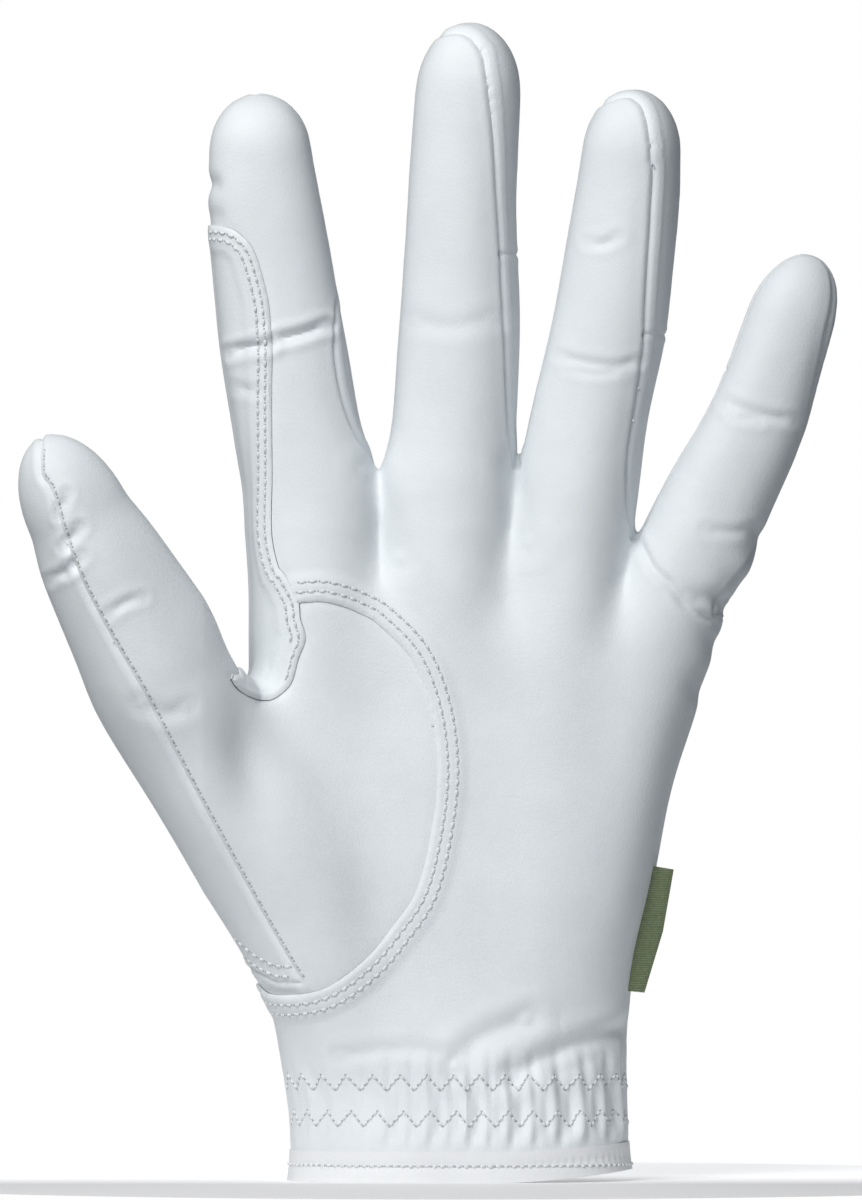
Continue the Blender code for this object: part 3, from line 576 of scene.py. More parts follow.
# Broad hollows (positive) and swellings (negative): x, z, radii along x and z, depth.
HOLLOWS = (
    (-33, 84, 9, 13, 1.1), (-8, 92, 22, 17, 1.5), (6, 66, 12, 22, 0.9),
    (-24, 60, 10, 14, -0.9), (24, 62, 12, 20, -0.9), (-4, 34, 13, 9, 0.6),
    (-24.5, 116, 8, 7, -0.5), (-1, 117, 8, 7, -0.5), (22, 112, 8, 7, -0.5),
    (-40, 83, 6, 13, 3.2),
    (-52, 80, 7, 9, 0.4),
)
# Bumps (positive) and dents (negative) of the outline: x, z, radius, height.
OUTLINE = (
    (57.3, 125.6, 1.7, -0.5), (55, 119.6, 3, 0.8), (50.6, 112.3, 1.9, -1),
    (50.4, 107.4, 2.2, 0.5), (47.8, 101.2, 3, 0.6), (45.8, 95.2, 2, -0.4),
    (-48.7, 194, 1.8, -0.9), (-47.8, 187.6, 1.8, -0.5),
)


# Gathers of the wrist, as waves round it: turn in radians to a millimetre, phase, sway and
# its turn to a millimetre of height, height of the wave.
GATHERS = ((1.15, 0, 1.2, 0.35, 0.55), (0.62, 2, 0.8, 0.3, 0.45), (2.3, 0.7, 0, 0, 0.22))
GATHER_TOP = 27.0
CREASE_STRENGTH = 1.15
CREASE_RIDGE = 0.22       # swelling beside a crease, as a share of its depth
HEM_ROW = 3.2             # height of the stitches along the hem


def shape(skin):
    """Creases, hollows and gathers pressed into the skin along its normals."""
    normal = skin.normals()
    x, y, z = skin.co.T
    flat = skin.co[:, [0, 2]]
    ahead = np.clip(-normal[:, 1] * 2.2, 0, 1)
    behind = np.clip(normal[:, 1] * 2.2, 0, 1)
    depth = np.zeros(len(x))
    for line, deep, wide in CREASES:
        curve = smooth_curve(line, 1.0)
        low, high = curve.min(0) - 6, curve.max(0) + 6
        box = ((flat > low) & (flat < high)).all(1)
        gap = np.abs(polyline_distance(flat[box], curve))
        ends = np.minimum(*(np.hypot(*(flat[box] - curve[k]).T) for k in (0, -1)))
        strength = CREASE_STRENGTH * deep * np.clip(ends / 2.5 + 0.15, 0, 1)
        form = bell(gap, wide) - CREASE_RIDGE * bell(gap - 2.1 * wide, wide)
        depth[box] += ahead[box] * strength * form
    for cx, cz, rx, rz, deep in HOLLOWS:
        depth += ahead * deep * np.exp(-((x - cx) / rx) ** 2 - ((z - cz) / rz) ** 2)
    aside = np.clip(np.abs(normal[:, 0]) * 1.4, 0, 1)
    for cx, cz, radius, height in OUTLINE:
        depth -= aside * height * np.exp(-((x - cx) ** 2 + (z - cz) ** 2) / radius ** 2)
    around = np.arctan2(y, x + 1.0) * WRIST_RADIUS
    wave = sum(np.sin(around * rate + phase + sway * np.sin(z * sway_rate)) * height
               for rate, phase, sway, sway_rate, height in GATHERS)
    zone = np.clip((z - HEM_TOP) / 3.0, 0, 1) * np.clip((GATHER_TOP - z) / 7.0, 0, 1)
    depth += (0.5 + 0.3 * np.clip(x / 25, -1, 1)) * wave * zone * (ahead + 0.35 * behind)
    # the sewn hem is drawn in along its stitches and puckers
    hem = bell(z - HEM_ROW, 0.8) * (ahead + 0.5 * behind)
    depth += hem * (0.26 + 0.12 * np.sin(around * 3.9))
    # the elastic draws the wrist in
    depth += 0.5 * np.exp(-((z - 15.5) / 6.0) ** 2) * ahead
    # soft, uneven swelling of worn leather
    lumps = np.array([noise.noise(Vector(p)) for p in skin.co * 0.055])
    depth += 0.30 * lumps * np.clip((z - 20) / 20, 0.2, 1)
    skin.co = skin.co - normal * depth[:, None]


# Which panel lies on top where two meet; other pairs are turned seams.
OVER = {(FRONT, THUMB_FRONT), (STRIP, FRONT), (STRIP, THUMB_FRONT), (STRIP, BACK),
        (THUMB_BACK, FRONT), (THUMB_BACK, BACK), (HEM, FRONT), (HEM, BACK),
        (HEM, THUMB_FRONT), (THUMB_BACK, STRIP), (BIND, BACK), (HEM, BIND)}


class Panels:
    """The skin split into its pattern pieces, each with its own raised and turned edges."""

    def __init__(self, skin, face_label):
        self.skin, self.face_label = skin, face_label
        self.normal = skin.normals()
        self.offset, trees = {}, {}
        a, b = skin.edge_faces.T
        pairs = {}
        for edge in np.nonzero((b >= 0) & (face_label[a] != face_label[np.maximum(b, 0)]))[0]:
            key = tuple(sorted((int(face_label[a[edge]]), int(face_label[b[edge]]))))
            pairs.setdefault(key, []).append(edge)
        for key, edges in pairs.items():
            ends = skin.edges[edges]
            spots = np.vstack((skin.co[ends].mean(1), skin.co[np.unique(ends)]))
            tree = KDTree(len(spots))
            for k, spot in enumerate(spots):
                tree.insert(spot, k)
            tree.balance()
            trees[key] = tree
        for label in np.unique(face_label):
            if label == SLIT:
                continue
            faces = skin.quads[face_label == label]
            used = np.unique(faces[faces >= 0])
            offset = np.zeros(len(skin.co))
            for key, tree in trees.items():
                if label not in key:
                    continue
                other = key[0] if key[1] == label else key[1]
                gap = np.array([tree.find(p)[2] for p in skin.co[used]])
                old, new = offset[used], self.profile(int(label), int(other), gap)
                offset[used] = np.where((old > 0) & (new > 0), np.maximum(old, new), old + new)
            self.offset[int(label)] = offset

    @staticmethod
    def profile(label, other, gap):
        """How far a panel lies off the skin at a distance from its seam with another."""
        if other == SLIT:
            return 0.25 * bell(gap, 2.5) - 0.5 * bell(gap, 0.45)
        if (label, other) in OVER:
            fade = np.clip(1 - (gap - 3.5) / 3.0, 0, 1)
            edge = np.sqrt(np.clip(1 - (1 - np.clip(gap / 0.7, 0, 1)) ** 2, 0, 1))
            rise = 0.10 + 0.44 * edge
            rows = 0.13 * (bell(gap - 1.9, 0.45) + bell(gap - 3.7, 0.45))
            if label in BINDINGS:
                return 0.22 * edge
            return rise * fade * fade * (3 - 2 * fade) - rows
        if (other, label) in OVER:
            return -0.13 * bell(gap, 0.9)
        if {label, other} == {GUSSET, BACK}:
            return -0.28 * bell(gap, 0.5) + 0.12 * bell(gap - 1.0, 0.7)
        far_side = label in (GUSSET, BACK) and other == FRONT
        return (-0.5 * bell(gap, 0.5) + 0.12 * bell(gap - 1.3, 0.8)
                + (0.16 * bell(gap - 2.2, 0.5) if far_side else 0.0))

    def surface(self, label):
        return self.skin.co + self.normal * self.offset[label][:, None]


def add_mesh(name, verts, faces, material):
    """A mesh object with one material, its points in metres."""
    data = bpy.data.meshes.new(name)
    data.from_pydata(np.asarray(verts).tolist(), [], faces)
    data.materials.append(material)
    obj = bpy.data.objects.new(name, data)
    bpy.context.scene.collection.objects.link(obj)
    return obj


def finish_mesh(obj, angle=42.0):
    obj.data.shade_smooth()
    obj.data.set_sharp_from_angle(angle=math.radians(angle))


def own_faces(quads, count, start=0):
    """The vertices that some faces use, and those faces with the vertices numbered anew."""
    used = np.unique(quads[quads >= 0])
    index = np.full(count, -1)
    index[used] = np.arange(len(used)) + start
    return used, [[int(index[v]) for v in quad if v >= 0] for quad in quads]


def settle(obj, zone):
    """Lets a piece move with its body, or leaves a piece that lies across a joint where it is, with no
    parent.
    """
    name = ZONES[zone]
    if name.startswith("bend_"):
        point, along, first, second, before, after = HINGES[name[5:]]
        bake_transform(obj)
    else:
        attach(obj, name)


def solid_sheet(obj):
    """Gives a sheet of leather its thickness, inwards from its visible face."""
    solidify = obj.modifiers.new("leather", "SOLIDIFY")
    solidify.thickness = LEATHER * MM
    solidify.offset = -1.0
    evaluated = obj.evaluated_get(bpy.context.evaluated_depsgraph_get())
    data = bpy.data.meshes.new_from_object(evaluated)
    obj.modifiers.clear()
    old, obj.data = obj.data, data
    bpy.data.meshes.remove(old)
    data.name = obj.name


def cut_pieces(panels, zones):
    """One closed sheet for every pattern piece on every body or bend."""
    made = {}
    skin = panels.skin
    for label, name in PANEL_NAME.items():
        surface = panels.surface(label) * MM
        for zone, zone_name in enumerate(ZONES):
            chosen = (panels.face_label == label) & (zones == zone)
            if not chosen.any():
                continue
            used, faces = own_faces(skin.quads[chosen], len(skin.co))
            slot = "binding" if label in BINDINGS else "leather"
            obj = add_mesh(f"{name}_{zone_name}", surface[used], faces, MATERIAL[slot])
            solid_sheet(obj)
            finish_mesh(obj)
            settle(obj, zone)
            made[name, zone_name] = obj
    return made


# ---- materials
def new_material(name):
    material = bpy.data.materials.new(name)
    material.use_nodes = True
    tree = material.node_tree
    tree.nodes.clear()
    shader = tree.nodes.new("ShaderNodeBsdfPrincipled")
    out = tree.nodes.new("ShaderNodeOutputMaterial")
    tree.links.new(shader.outputs["BSDF"], out.inputs["Surface"])
    return material, tree, shader


def add_node(tree, kind, inputs):
    """A node with its inputs: sockets are linked, and numbers and colours set."""
    node = tree.nodes.new("ShaderNode" + kind)
    feed(tree, node, inputs)
    return node


def feed(tree, node, inputs):
    for name, value in inputs.items():
        if isinstance(value, bpy.types.NodeSocket):
            tree.links.new(value, node.inputs[name])
        else:
            node.inputs[name].default_value = value


def object_place(tree):
    return tree.nodes.new("ShaderNodeTexCoord").outputs["Object"]


def add_noise(tree, place, scale, detail=2.0, roughness=0.6):
    inputs = {"Vector": place, "Scale": scale, "Detail": detail, "Roughness": roughness}
    return add_node(tree, "TexNoise", inputs).outputs["Fac"]


def add_ramp(tree, value, low, high, first, second):
    """A colour that changes from first to second as value goes from low to high."""
    node = add_node(tree, "ValToRGB", {"Fac": value})
    for element, place, colour in zip(node.color_ramp.elements, (low, high), (first, second)):
        element.position = place
        element.color = (*colour, 1)
    return node.outputs["Color"]


def add_math(tree, operation, first, second):
    node = add_node(tree, "Math", {0: first, 1: second})
    node.operation = operation
    return node.outputs["Value"]


def add_bump(tree, shader, height, strength, distance):
    node = add_node(tree, "Bump", {"Strength": strength, "Distance": distance, "Height": height})
    tree.links.new(node.outputs["Normal"], shader.inputs["Normal"])


def leather_material(name, light, shade):
    """Leather with fine pores and folds, and a colour that varies a little."""
    material, tree, shader = new_material(name)
    place = object_place(tree)
    blotches = add_noise(tree, place, 55.0, 3.0)
    cells = add_node(tree, "TexVoronoi", {"Scale": 1250.0, "Vector": place})
    cells.feature = "DISTANCE_TO_EDGE"
    pores = add_math(tree, "MINIMUM", cells.outputs["Distance"], 0.18)
    fine = add_noise(tree, place, 2600.0)
    folds = add_noise(tree, place, 420.0, 3.0)
    grain = add_math(tree, "ADD", add_math(tree, "MULTIPLY", pores, 2.2),
                     add_math(tree, "MULTIPLY", fine, 0.25))
    height = add_math(tree, "ADD", grain, add_math(tree, "MULTIPLY", folds, 0.9))
    add_bump(tree, shader, height, 0.5, 0.00009)
    rough = add_node(tree, "MapRange", {"To Min": 0.50, "To Max": 0.66, "Value": folds})
    feed(tree, shader, {
        "Base Color": add_ramp(tree, blotches, 0.35, 0.68, shade, light),
        "Roughness": rough.outputs["Result"], "Specular IOR Level": 0.38,
        "Sheen Weight": 0.06, "Sheen Roughness": 0.4})
    return material


def woven_material(name, dark, light, scale, roughness):
    """Threads or cloth: mottled fine bands."""
    material, tree, shader = new_material(name)
    place = object_place(tree)
    wave = add_node(tree, "TexWave", {
        "Scale": scale, "Distortion": 1.2, "Detail Scale": 2.0, "Vector": place})
    wave.bands_direction = "Z"
    mottle = add_noise(tree, place, scale * 1.5)
    mixed = add_math(tree, "MULTIPLY", wave.outputs["Fac"], mottle)
    add_bump(tree, shader, mixed, 0.6, 0.00012)
    feed(tree, shader, {
        "Base Color": add_ramp(tree, mixed, 0.1, 0.5, dark, light), "Roughness": roughness})
    return material


def plain_material(name, colour, roughness):
    material, tree, shader = new_material(name)
    feed(tree, shader, {"Base Color": (*colour, 1), "Roughness": roughness})
    return material


def floor_material():
    """A pale floor that glows more behind the glove than in front of it."""
    material, tree, shader = new_material("floor")
    split = add_node(tree, "SeparateXYZ", {"Vector": object_place(tree)})
    share = add_node(tree, "MapRange", {
        "From Min": -0.03, "From Max": 0.03, "Value": split.outputs["Y"]})
    dim, bright = (0.12, 0.12, 0.12), (0.7, 0.7, 0.7)
    feed(tree, shader, {
        "Emission Color": add_ramp(tree, share.outputs["Result"], 0.0, 1.0, dim, bright),
        "Emission Strength": 1.0, "Base Color": (0.70, 0.70, 0.71, 1), "Roughness": 0.9})
    return material


MATERIAL = {
    "leather": leather_material("leather", (0.785, 0.828, 0.852), (0.735, 0.777, 0.80)),
    "binding": leather_material("binding", (0.82, 0.835, 0.845), (0.77, 0.785, 0.80)),
    "thread": woven_material("thread", (0.70, 0.72, 0.74), (0.84, 0.86, 0.87), 1600.0, 0.7),
    # painted shade: a flat grey that stands for the shade inside a needle's puncture
    "hole_shade": plain_material("needle_hole_shade", (0.42, 0.445, 0.46), 0.9),
    "elastic": woven_material("elastic", (0.50, 0.51, 0.53), (0.78, 0.78, 0.79), 620.0, 0.8),
    "label": woven_material("label", (0.135, 0.175, 0.095), (0.28, 0.345, 0.195), 900.0, 0.85),
    "floor": floor_material(),
    "hook": woven_material("hook_and_loop", (0.55, 0.56, 0.58), (0.80, 0.80, 0.82), 1400.0, 0.9),
}


# ---- stitches
class Cloth:
    """The finished outer surface, for placing things on it."""

    def __init__(self, skin, panels):
        verts, faces, start = [], [], 0
        for label in panels.offset:
            chosen = skin.quads[panels.face_label == label]
            used, part = own_faces(chosen, len(skin.co), start)
            verts.append(panels.surface(label)[used])
            faces += part
            start += len(used)
        self.outer = BVHTree.FromPolygons(np.vstack(verts).tolist(), faces)
        self.whole = BVHTree.FromPolygons(
            skin.co.tolist(), [[int(v) for v in q if v >= 0] for q in skin.quads])

    def cast(self, origin, direction, tree=None):
        """Where a ray meets the surface, and the surface's normal there, towards the ray."""
        place, normal, _, _ = (tree or self.outer).ray_cast(Vector(origin), Vector(direction))
        if place is None:
            return None
        if normal.dot(Vector(direction)) > 0:
            normal = -normal
        return np.array(place), np.array(normal)

    def over(self, flat, side=-1):
        """Points of the palm side (-1) or the back (1) above points in x and z."""
        hits = [self.cast((x, side * 90.0, z), (0, -side, 0)) for x, z in flat]
        return [hit for hit in hits if hit is not None]

    def round_wrist(self, angles, heights):
        """Points of the wrist at angles round it, from +X by way of the back."""
        hits = []
        for angle, z in zip(angles, heights):
            out = np.array((math.cos(angle), math.sin(angle), 0.0))
            hits.append(self.cast(out * 70 + (0, 0, z), -out))
        return [hit for hit in hits if hit is not None]


# A needle's puncture is drawn as a small dark disc of painted shade, not as a recess.
HOLE = 0.24               # radius of a needle hole
HOLE_SIDES = 8
RING_SIDES = 8            # sides of a thread
RING_STEPS = (-1.0, -0.86, -0.5, 0.0, 0.5, 0.86, 1.0)   # places of its rings along it


def thread_template():
    """One stitch: place along it, and place across and above it as shares of its radius."""
    turns = np.linspace(0, 2 * np.pi, RING_SIDES, endpoint=False)
    rows = []
    for t in RING_STEPS:
        girth = math.sqrt(max(1 - t ** 4 * 0.92, 0.05))
        rows += [(t, girth * math.cos(a), girth * math.sin(a)) for a in turns]
    faces = []
    for k in range(len(RING_STEPS) - 1):
        for j in range(RING_SIDES):
            i = (j + 1) % RING_SIDES
            faces.append([k * RING_SIDES + j, k * RING_SIDES + i,
                          (k + 1) * RING_SIDES + i, (k + 1) * RING_SIDES + j])
    faces.append(list(range(RING_SIDES))[::-1])
    faces.append([(len(RING_STEPS) - 1) * RING_SIDES + j for j in range(RING_SIDES)])
    return np.array(rows), faces


TEMPLATE, TEMPLATE_FACES = thread_template()
STITCHES = []             # centre, direction, normal, length, radius, body of every stitch


def add_stitch(first, last, normal, radius, body):
    """Notes one stitch from its first to its last point."""
    length = float(np.linalg.norm(last - first))
    STITCHES.append(((first + last) / 2, unit(last - first), unit(normal), length, radius, body))


def travelled(spots):
    """The way along a row of points to each of them."""
    steps = np.linalg.norm(np.diff(spots, axis=0), axis=1)
    return np.concatenate(((0,), np.cumsum(steps)))


def sew(hits, length=1.35, pitch=2.1, radius=0.30, longest_gap=2.5, body=None):
    """Stitches along a row of surface points, leaving out the places where it jumps."""
    if len(hits) < 3:
        return
    spots = np.array([h[0] for h in hits])
    normals = np.array([h[1] for h in hits])
    broken = np.nonzero(np.linalg.norm(np.diff(spots, axis=0), axis=1) > longest_gap)[0]
    if len(broken):
        cut = broken[0] + 1
        for part in (hits[:cut], hits[cut:]):
            sew(part, length, pitch, radius, longest_gap, body)
        return
    travel = travelled(spots)

    def at(distance, rows):
        return np.array([np.interp(distance, travel, rows[:, k]) for k in range(3)])

    for middle in np.arange(pitch / 2, travel[-1] - length / 2, pitch):
        add_stitch(at(middle - length / 2, spots), at(middle + length / 2, spots),
                   at(middle, normals), radius, body)


def make_stitches():
    """All stitches of each body or bend as one piece, and at their ends small dark discs of painted
    shade where the needle went through.
    """
    centres = np.array([s[0] for s in STITCHES])
    zones = zones_of(centres)
    for k, (*_, body) in enumerate(STITCHES):
        if body:
            zones[k] = ZONES.index(body)
    for zone in np.unique(zones):
        verts, faces, shade_disc_verts, shade_disc_faces = [], [], [], []
        for k in np.nonzero(zones == zone)[0]:
            centre, along, normal, length, radius, _ = STITCHES[k]
            across = np.cross(normal, along)
            t = TEMPLATE[:, :1]
            lift = 0.08 * (1 - t ** 2) - 0.28 * t ** 4
            spots = (centre + along * t * length / 2 + across * TEMPLATE[:, 1:2] * radius
                     + normal * (TEMPLATE[:, 2:3] * radius * 0.9 + lift))
            base = len(verts) * len(TEMPLATE)
            verts.append(spots)
            faces += [[v + base for v in face] for face in TEMPLATE_FACES]
            # a dark disc of painted shade at each end, for the shade inside the needle's puncture
            for end in (-1, 1):
                spot = centre + along * end * (length / 2 + 0.05) + normal * 0.02
                count = len(shade_disc_verts)
                for a in range(HOLE_SIDES):
                    turn = 2 * math.pi * a / HOLE_SIDES
                    out = along * math.cos(turn) + across * math.sin(turn)
                    shade_disc_verts.append(spot + out * HOLE)
                shade_disc_verts += [spot + normal * 0.05, spot - normal * 0.25]
                top = count + HOLE_SIDES
                for a in range(HOLE_SIDES):
                    first, second = count + a, count + (a + 1) % HOLE_SIDES
                    shade_disc_faces += [[first, second, top], [second, first, top + 1]]
        thread = add_mesh("stitches_" + ZONES[zone], np.vstack(verts) * MM, faces,
                          MATERIAL["thread"])
        hole_shade_mesh = add_mesh("needle_hole_shades_" + ZONES[zone], np.array(shade_disc_verts) * MM, shade_disc_faces,
                         MATERIAL["hole_shade"])
        for obj in (thread, hole_shade_mesh):
            finish_mesh(obj, 60.0)
            settle(obj, zone)


def shifted(curve, distance):
    """A curve moved to its right by a distance."""
    along = unit(np.gradient(curve, axis=0))
    return curve + np.stack((along[:, 1], -along[:, 0]), -1) * distance


WRIST_SAMPLES = 400
ZIGZAG_TURN = (math.radians(185), math.radians(358))   # where the zigzags start and end
ZIGZAG_ROWS = ((17.9, 20.9), (10.9, 13.9))             # low and high of each
ZIGZAG_LEGS = 32
ZIGZAG_GAP = 0.03         # share of a leg left free at each end of a stitch
ZIGZAG_THREAD = 0.26


def zigzag(cloth, low, high):
    """A three-step zigzag round the palm side of the wrist."""
    angles = np.linspace(*ZIGZAG_TURN, WRIST_SAMPLES)
    ring = cloth.round_wrist(angles, np.full(WRIST_SAMPLES, (low + high) / 2))
    travel = travelled(np.array([h[0] for h in ring]))
    for leg in range(ZIGZAG_LEGS):
        start, end = [travel[-1] * (leg + share) / ZIGZAG_LEGS for share in (0, 1)]
        rise = [(low, high), (high, low)][leg % 2]
        for third in range(3):
            row = []
            for share in np.linspace(third / 3 + ZIGZAG_GAP, (third + 1) / 3 - ZIGZAG_GAP, 4):
                angle = np.interp(start + (end - start) * share, travel, angles)
                row += cloth.round_wrist([angle], [rise[0] + (rise[1] - rise[0]) * share])
            if len(row) == 4:
                add_stitch(row[0][0], row[-1][0], row[1][1], ZIGZAG_THREAD, None)


# Distances of the rows of stitches from the edges of the oval, the strip and the thumb's foot.
LIP_ROWS, STRIP_ROWS, FOOT_ROWS = (2.0, 3.9), (1.3, 2.7), (1.2, 3.2)


def sew_all(cloth):
    """Every row of stitches but the closure tab's."""
    for distance in LIP_ROWS:
        curve = shifted(LIP_CURVE, distance)
        sew(cloth.over([p for p in curve if p[0] > -46 and not (p[0] < -34 and p[1] > 60)]))
    for distance in STRIP_ROWS:
        curve = shifted(STRIP_CURVE, distance)
        lowest = 104 if distance > 2 else 96
        curve = curve[(curve[:, 0] > -40) & (curve[:, 1] > lowest) | (curve[:, 1] > 140)]
        sew(cloth.over(curve), longest_gap=3.0)
    sew(cloth.over(shifted(THUMB_CURVE, -0.9)[14:]), length=1.3, pitch=2.1, radius=0.2)
    for lift in FOOT_ROWS:
        foot = [(x, lift + np.interp(x, *FOOT)) for x in np.arange(-47.0, -31.6, 0.5)]
        sew(cloth.over(foot))
    for row in ZIGZAG_ROWS:
        zigzag(cloth, *row)
    # the hem's row goes round from one side of the slit to the other
    angles = np.linspace(math.radians(96), math.radians(444), 700)
    sew(cloth.round_wrist(angles, np.full(700, HEM_ROW)), length=1.1, pitch=1.6)
    turns = np.linspace(math.pi, 0, 40)
    binding = SLIT_HALF + 1.6
    loop = ([(-binding, z) for z in np.arange(HEM_TOP + 1.5, SLIT_TOP, 0.5)]
            + [(binding * math.cos(a), SLIT_TOP + binding * math.sin(a)) for a in turns]
            + [(binding, z) for z in np.arange(SLIT_TOP, HEM_TOP + 1.5, -0.5)])
    sew(cloth.over(loop, 1), length=1.5, pitch=2.0)


TAB_X, TAB_Z = (-19.0, 25.0), (12, 38)
PAD_X, PAD_Z = (4.5, 22.5), (15, 35)
TAB_TOP = 2.85            # height of the tab's threads above the skin
TAB_INSET = 1.9           # from the tab's edge to its row of stitches
ROW_CORNER = 4.5          # corner radius of that row
LEAN = (1, 1, 0.3)        # how much of each part of the skin's normal flat parts follow
PATCH_STEP = 0.55         # cell of a flat part


def round_end(x, low, high, right, corner):
    """Low and high of a strip whose right end has rounded corners."""
    inside = max(x - (right - corner), 0.0)
    cut = corner - math.sqrt(max(corner ** 2 - inside ** 2, 0.0))
    return low + cut, high - cut


def sew_tab(cloth):
    """Rows round the edge of the closure tab and across its sewn end."""
    def on_tab(points):
        hits = [cloth.cast((x, 90.0, z), (0, -1, 0), cloth.whole) for x, z in points]
        return [(spot + unit(normal * LEAN) * TAB_TOP, normal) for spot, normal in hits]

    low, high, right = TAB_Z[0] + TAB_INSET, TAB_Z[1] - TAB_INSET, TAB_X[1] - TAB_INSET

    def rows(x_values, which):
        return [(x, round_end(x, low, high, right, ROW_CORNER)[which]) for x in x_values]

    upper = rows(np.arange(-8.0, right + 0.01, 0.4), 1)
    end = [(right, z) for z in np.arange(high - ROW_CORNER, low + ROW_CORNER, -0.5)]
    lower = rows(np.arange(right, -8.01, -0.4), 0)
    sew(on_tab(upper + end + lower), body="tab")
    for x in (-17.2, -14.6):
        sew(on_tab([(x, z) for z in np.arange(13.5, 36.6, 0.5)]), body="palm")


# ---- wrist parts
def closed_sheet(name, top, bottom, rows, material):
    """A closed sheet from the points of its two faces, given column by column."""
    total, columns = len(top), len(top) // rows
    faces = []
    for i in range(columns - 1):
        for j in range(rows - 1):
            a, b = i * rows + j, (i + 1) * rows + j
            faces.append([a, b, b + 1, a + 1])
            faces.append([total + a, total + a + 1, total + b + 1, total + b])
    rim = ([i * rows for i in range(columns)]
           + [(columns - 1) * rows + j for j in range(1, rows)]
           + [i * rows + rows - 1 for i in range(columns - 2, -1, -1)]
           + [j for j in range(rows - 2, 0, -1)])
    for a, b in zip(rim, rim[1:] + rim[:1]):
        faces.append([b, a, total + a, total + b])
    obj = add_mesh(name, np.array(top + bottom) * MM, faces, MATERIAL[material])
    mesh = bmesh.new()
    mesh.from_mesh(obj.data)
    bmesh.ops.recalc_face_normals(mesh, faces=mesh.faces)
    mesh.to_mesh(obj.data)
    mesh.free()
    finish_mesh(obj, 50.0)
    return obj


def patch(name, cloth, x_range, span, layers, side, material, rounding):
    """A flat part that follows the hand: span(x) gives its low and high z at each x, and
    layers how far its bottom and its top lie off the skin."""
    columns = np.linspace(*x_range, int((x_range[1] - x_range[0]) / PATCH_STEP))
    low, high = span(columns[0])
    count = int((high - low) / PATCH_STEP)
    top, bottom = [], []
    for x in columns:
        low, high = span(x)
        for z in np.linspace(low, high, count):
            spot, normal = cloth.cast((x, side * 90.0, z), (0, -side, 0), cloth.whole)
            edge = min(x - x_range[0], x_range[1] - x, z - low, high - z)
            share = math.sqrt(max(1 - (1 - min(max(edge, 0.02) / rounding, 1)) ** 2, 0.0))
            normal = unit(normal * LEAN)
            lift = layers[0] + (layers[1] - layers[0]) * (0.35 + 0.65 * share)
            top.append(spot + normal * lift)
            bottom.append(spot + normal * layers[0])
    return closed_sheet(name, top, bottom, count, material)


def wrist_parts(cloth):
    """The closure tab, its pads and the elastic."""
    tab = patch("closure_tab", cloth, TAB_X, lambda x: round_end(x, *TAB_Z, TAB_X[1], 6),
                (1.8, 2.9), 1, "leather", 0.7)
    for node in ("closure_tab", "tab_anchor"):
        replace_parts(tab, node)
    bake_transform(tab)
    for name, layers, body in (("hook_pad", (1.0, 1.6), "tab"), ("loop_pad", (0.1, 0.8), "palm")):
        pad = patch(name, cloth, PAD_X, lambda x: round_end(x, *PAD_Z, PAD_X[1], 4),
                    layers, 1, "hook", 0.3)
        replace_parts(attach(pad, body), name)
    elastic = patch("wrist_elastic", cloth, (-30.0, 29.0), lambda x: (8.5, 22.5),
                    (-2.4, -1.5), -1, "elastic", 0.3)
    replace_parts(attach(elastic, "palm"), "wrist_elastic")


def side_label(cloth):
    """The folded woven label sewn into the side seam."""
    across, up = 8, 44
    root, reach, half = -4.6, 1.4, 0.45    # depth of its seam, slant and half thickness
    # x and z of its edge in the seam and of its free edge, at the bottom, middle and top
    inner = np.array(((32.6, 37.0), (35.5, 49.0), (37.4, 61.4)))
    outer = np.array(((35.6, 36.6), (39.2, 48.5), (41.3, 60.6)))
    front, back = [], []
    for share in np.arange(up + 1) / up:
        a, b = ([np.interp(share, (0, 0.5, 1), line[:, k]) for k in (0, 1)]
                for line in (inner, outer))
        side, _ = cloth.cast((90.0, root, a[1]), (-1, 0, 0), cloth.whole)
        start = min(side[0] - 0.7, a[0])
        for t in np.arange(across + 1) / across:
            x, z = start + (b[0] - start) * t, a[1] + (b[1] - a[1]) * t
            y = root * (1 - t) + (root + reach) * t + 0.25 * math.sin(share * 5.0) * t
            fold = math.sqrt(max(1 - t ** 8, 0.0))
            front.append((x, y - half * fold, z))
            back.append((x, y + half * fold, z))
    label = closed_sheet("side_label", front, back, across + 1, "label")
    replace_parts(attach(label, "palm"), "side_label")


# ---- building
mesh = build_skin()
bmesh.ops.bisect_plane(mesh, geom=mesh.verts[:] + mesh.edges[:] + mesh.faces[:], dist=1e-6,
                       plane_co=(0, 0, 0), plane_no=(0, 0, -1), clear_outer=True)
skin = Skin(mesh)
rim = skin.co[:, 2] < 0.01
skin.smooth(SKIN_SMOOTHING, fixed=rim)
# the palm is smoothed up to the fingers, less far on the little finger's side
palm_top = 127 - 9 * np.clip((skin.co[:, 0] - 18) / 8, 0, 1)
beside_thumb = np.clip((skin.co[:, 0] + 50) / 8, 0, 1)
palm_weight = np.clip((palm_top - skin.co[:, 2]) / 15, 0, 1) * beside_thumb
skin.smooth(PALM_SMOOTHING, 0.5 * palm_weight, fixed=rim)
shape(skin)
face_label = snap_to_seams(skin)
# the hem rises towards the little finger's side
rise = np.clip((skin.co[:, 0] - 8) / 26, 0, 1) ** 1.6 * 2.4
skin.co[:, 2] += rise * np.clip(1 - skin.co[:, 2] / 34, 0, 1) ** 1.5
panels = Panels(skin, face_label)
PIECES = cut_pieces(panels, zones_of(skin.face_centres()))
cloth = Cloth(skin, panels)
sew_all(cloth)
sew_tab(cloth)
make_stitches()
wrist_parts(cloth)
side_label(cloth)

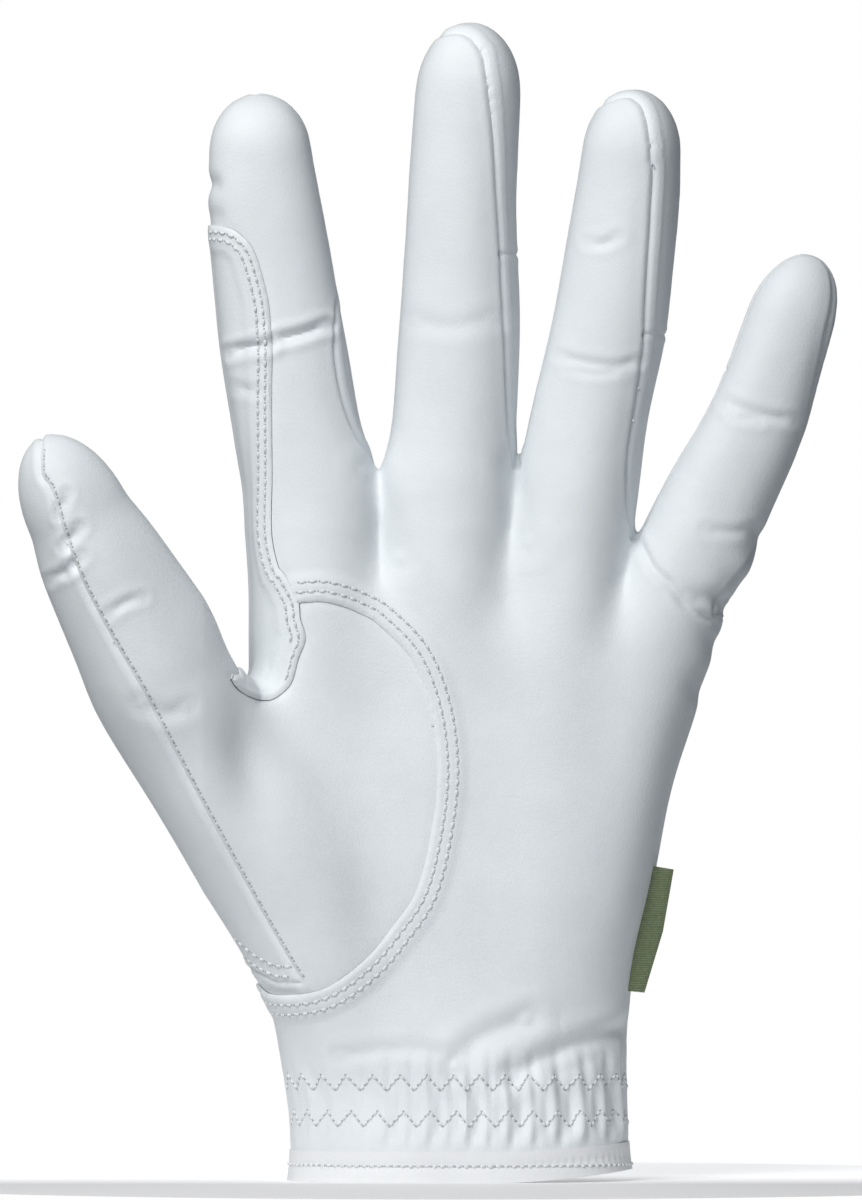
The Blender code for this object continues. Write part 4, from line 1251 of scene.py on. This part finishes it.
# CAD node, then the panel and the body of the piece that stands for it, and the bend that
# the node reaches over.
STAND_FOR = [
    ("palm", "front", "palm", None), ("back", "back", "palm", None),
    ("hem", "hem", "palm", None), ("slit_binding", "slit_binding", "palm", None),
    ("thumb_oval", "thumb_front", "palm", "thumb_base"),
    ("thumb_base_back", "thumb_back", "palm", "thumb_base"),
    ("thumb_web", "strip", "palm", "knuckle"),
    ("thumb_middle_front", "thumb_front", "thumb_middle", "thumb_base"),
    ("thumb_middle_back", "thumb_back", "thumb_middle", "thumb_base"),
    ("thumb_tip_front", "thumb_front", "thumb_tip", "thumb_end"),
    ("thumb_tip_back", "thumb_back", "thumb_tip", "thumb_end"),
    ("fingers_front", "front", "fingers", "knuckle"),
    ("fingers_back", "back", "fingers", "knuckle"),
    ("gusset_index_middle", "gusset", "fingers", None),
    ("gusset_middle_ring", "gusset", "fingers", None),
    ("gusset_ring_little", "gusset", "fingers", None),
    ("index_strip_middle", "strip", "fingers", "knuckle"),
    ("index_strip_tip", "strip", "index_tip", "index"),
]
STAND_FOR += [(f"{finger}_tip_{panel}", panel, finger + "_tip", finger)
              for finger in FINGERS for panel in ("front", "back")]
for node, panel, body, bend in STAND_FOR:
    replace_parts(PIECES[panel, body], node)
    if bend:
        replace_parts(PIECES[panel, "bend_" + bend], node)


# ---- studio
FLOOR_RADIUS = 0.13       # metres, as is everything in the studio
FLOOR_SIDES = 96
AIM = (-0.006, 0, 0.11)
# Name, place, size, power and colour of each light.
LIGHTS = (("key", (-0.36, -0.70, 0.70), 0.62, 8.7, (1.0, 0.99, 0.975)),
          ("fill", (0.15, -1.5, 0.40), 0.8, 1.2, (0.94, 0.97, 1.0)))
SENSOR = 36.0             # millimetres
DISTANCE = 4.0
FRAME_HEIGHT = 0.234      # what the camera sees from bottom to top at the glove
CAMERA_X, CAMERA_Z = -0.0060, 0.1131


def build_studio():
    world = bpy.data.worlds.new("studio")
    bpy.context.scene.world = world
    world.use_nodes = True
    tree = world.node_tree
    place = tree.nodes.new("ShaderNodeTexCoord").outputs["Generated"]
    split = add_node(tree, "SeparateXYZ", {"Vector": place})
    # a white sweep straight behind the glove, softer light from everywhere else
    glow = add_ramp(tree, split.outputs["Y"], 0.93, 0.97, (0.165, 0.173, 0.187), (1.0, 1.0, 1.0))
    tree.links.new(glow, tree.nodes["Background"].inputs["Color"])
    bpy.context.scene.view_settings.view_transform = "Standard"
    turns = [2 * math.pi * k / FLOOR_SIDES for k in range(FLOOR_SIDES)]
    rim = [(FLOOR_RADIUS * math.cos(a), FLOOR_RADIUS * math.sin(a), 0) for a in turns]
    add_mesh("floor", rim, [list(range(FLOOR_SIDES))], MATERIAL["floor"])
    for name, place, size, power, colour in LIGHTS:
        data = bpy.data.lights.new(name, "AREA")
        data.shape, data.size, data.energy, data.color = "DISK", size, power, colour
        lamp = bpy.data.objects.new(name, data)
        bpy.context.scene.collection.objects.link(lamp)
        lamp.location = place
        aim = Vector(AIM) - Vector(place)
        lamp.rotation_euler = aim.to_track_quat("-Z", "Y").to_euler()
    data = bpy.data.cameras.new("camera")
    data.sensor_width = SENSOR
    data.lens = SENSOR * DISTANCE / FRAME_HEIGHT
    camera = bpy.data.objects.new("camera", data)
    camera.location = (CAMERA_X, -DISTANCE, CAMERA_Z)
    camera.rotation_euler = (math.pi / 2, 0, 0)
    bpy.context.scene.collection.objects.link(camera)
    bpy.context.scene.camera = camera


build_studio()
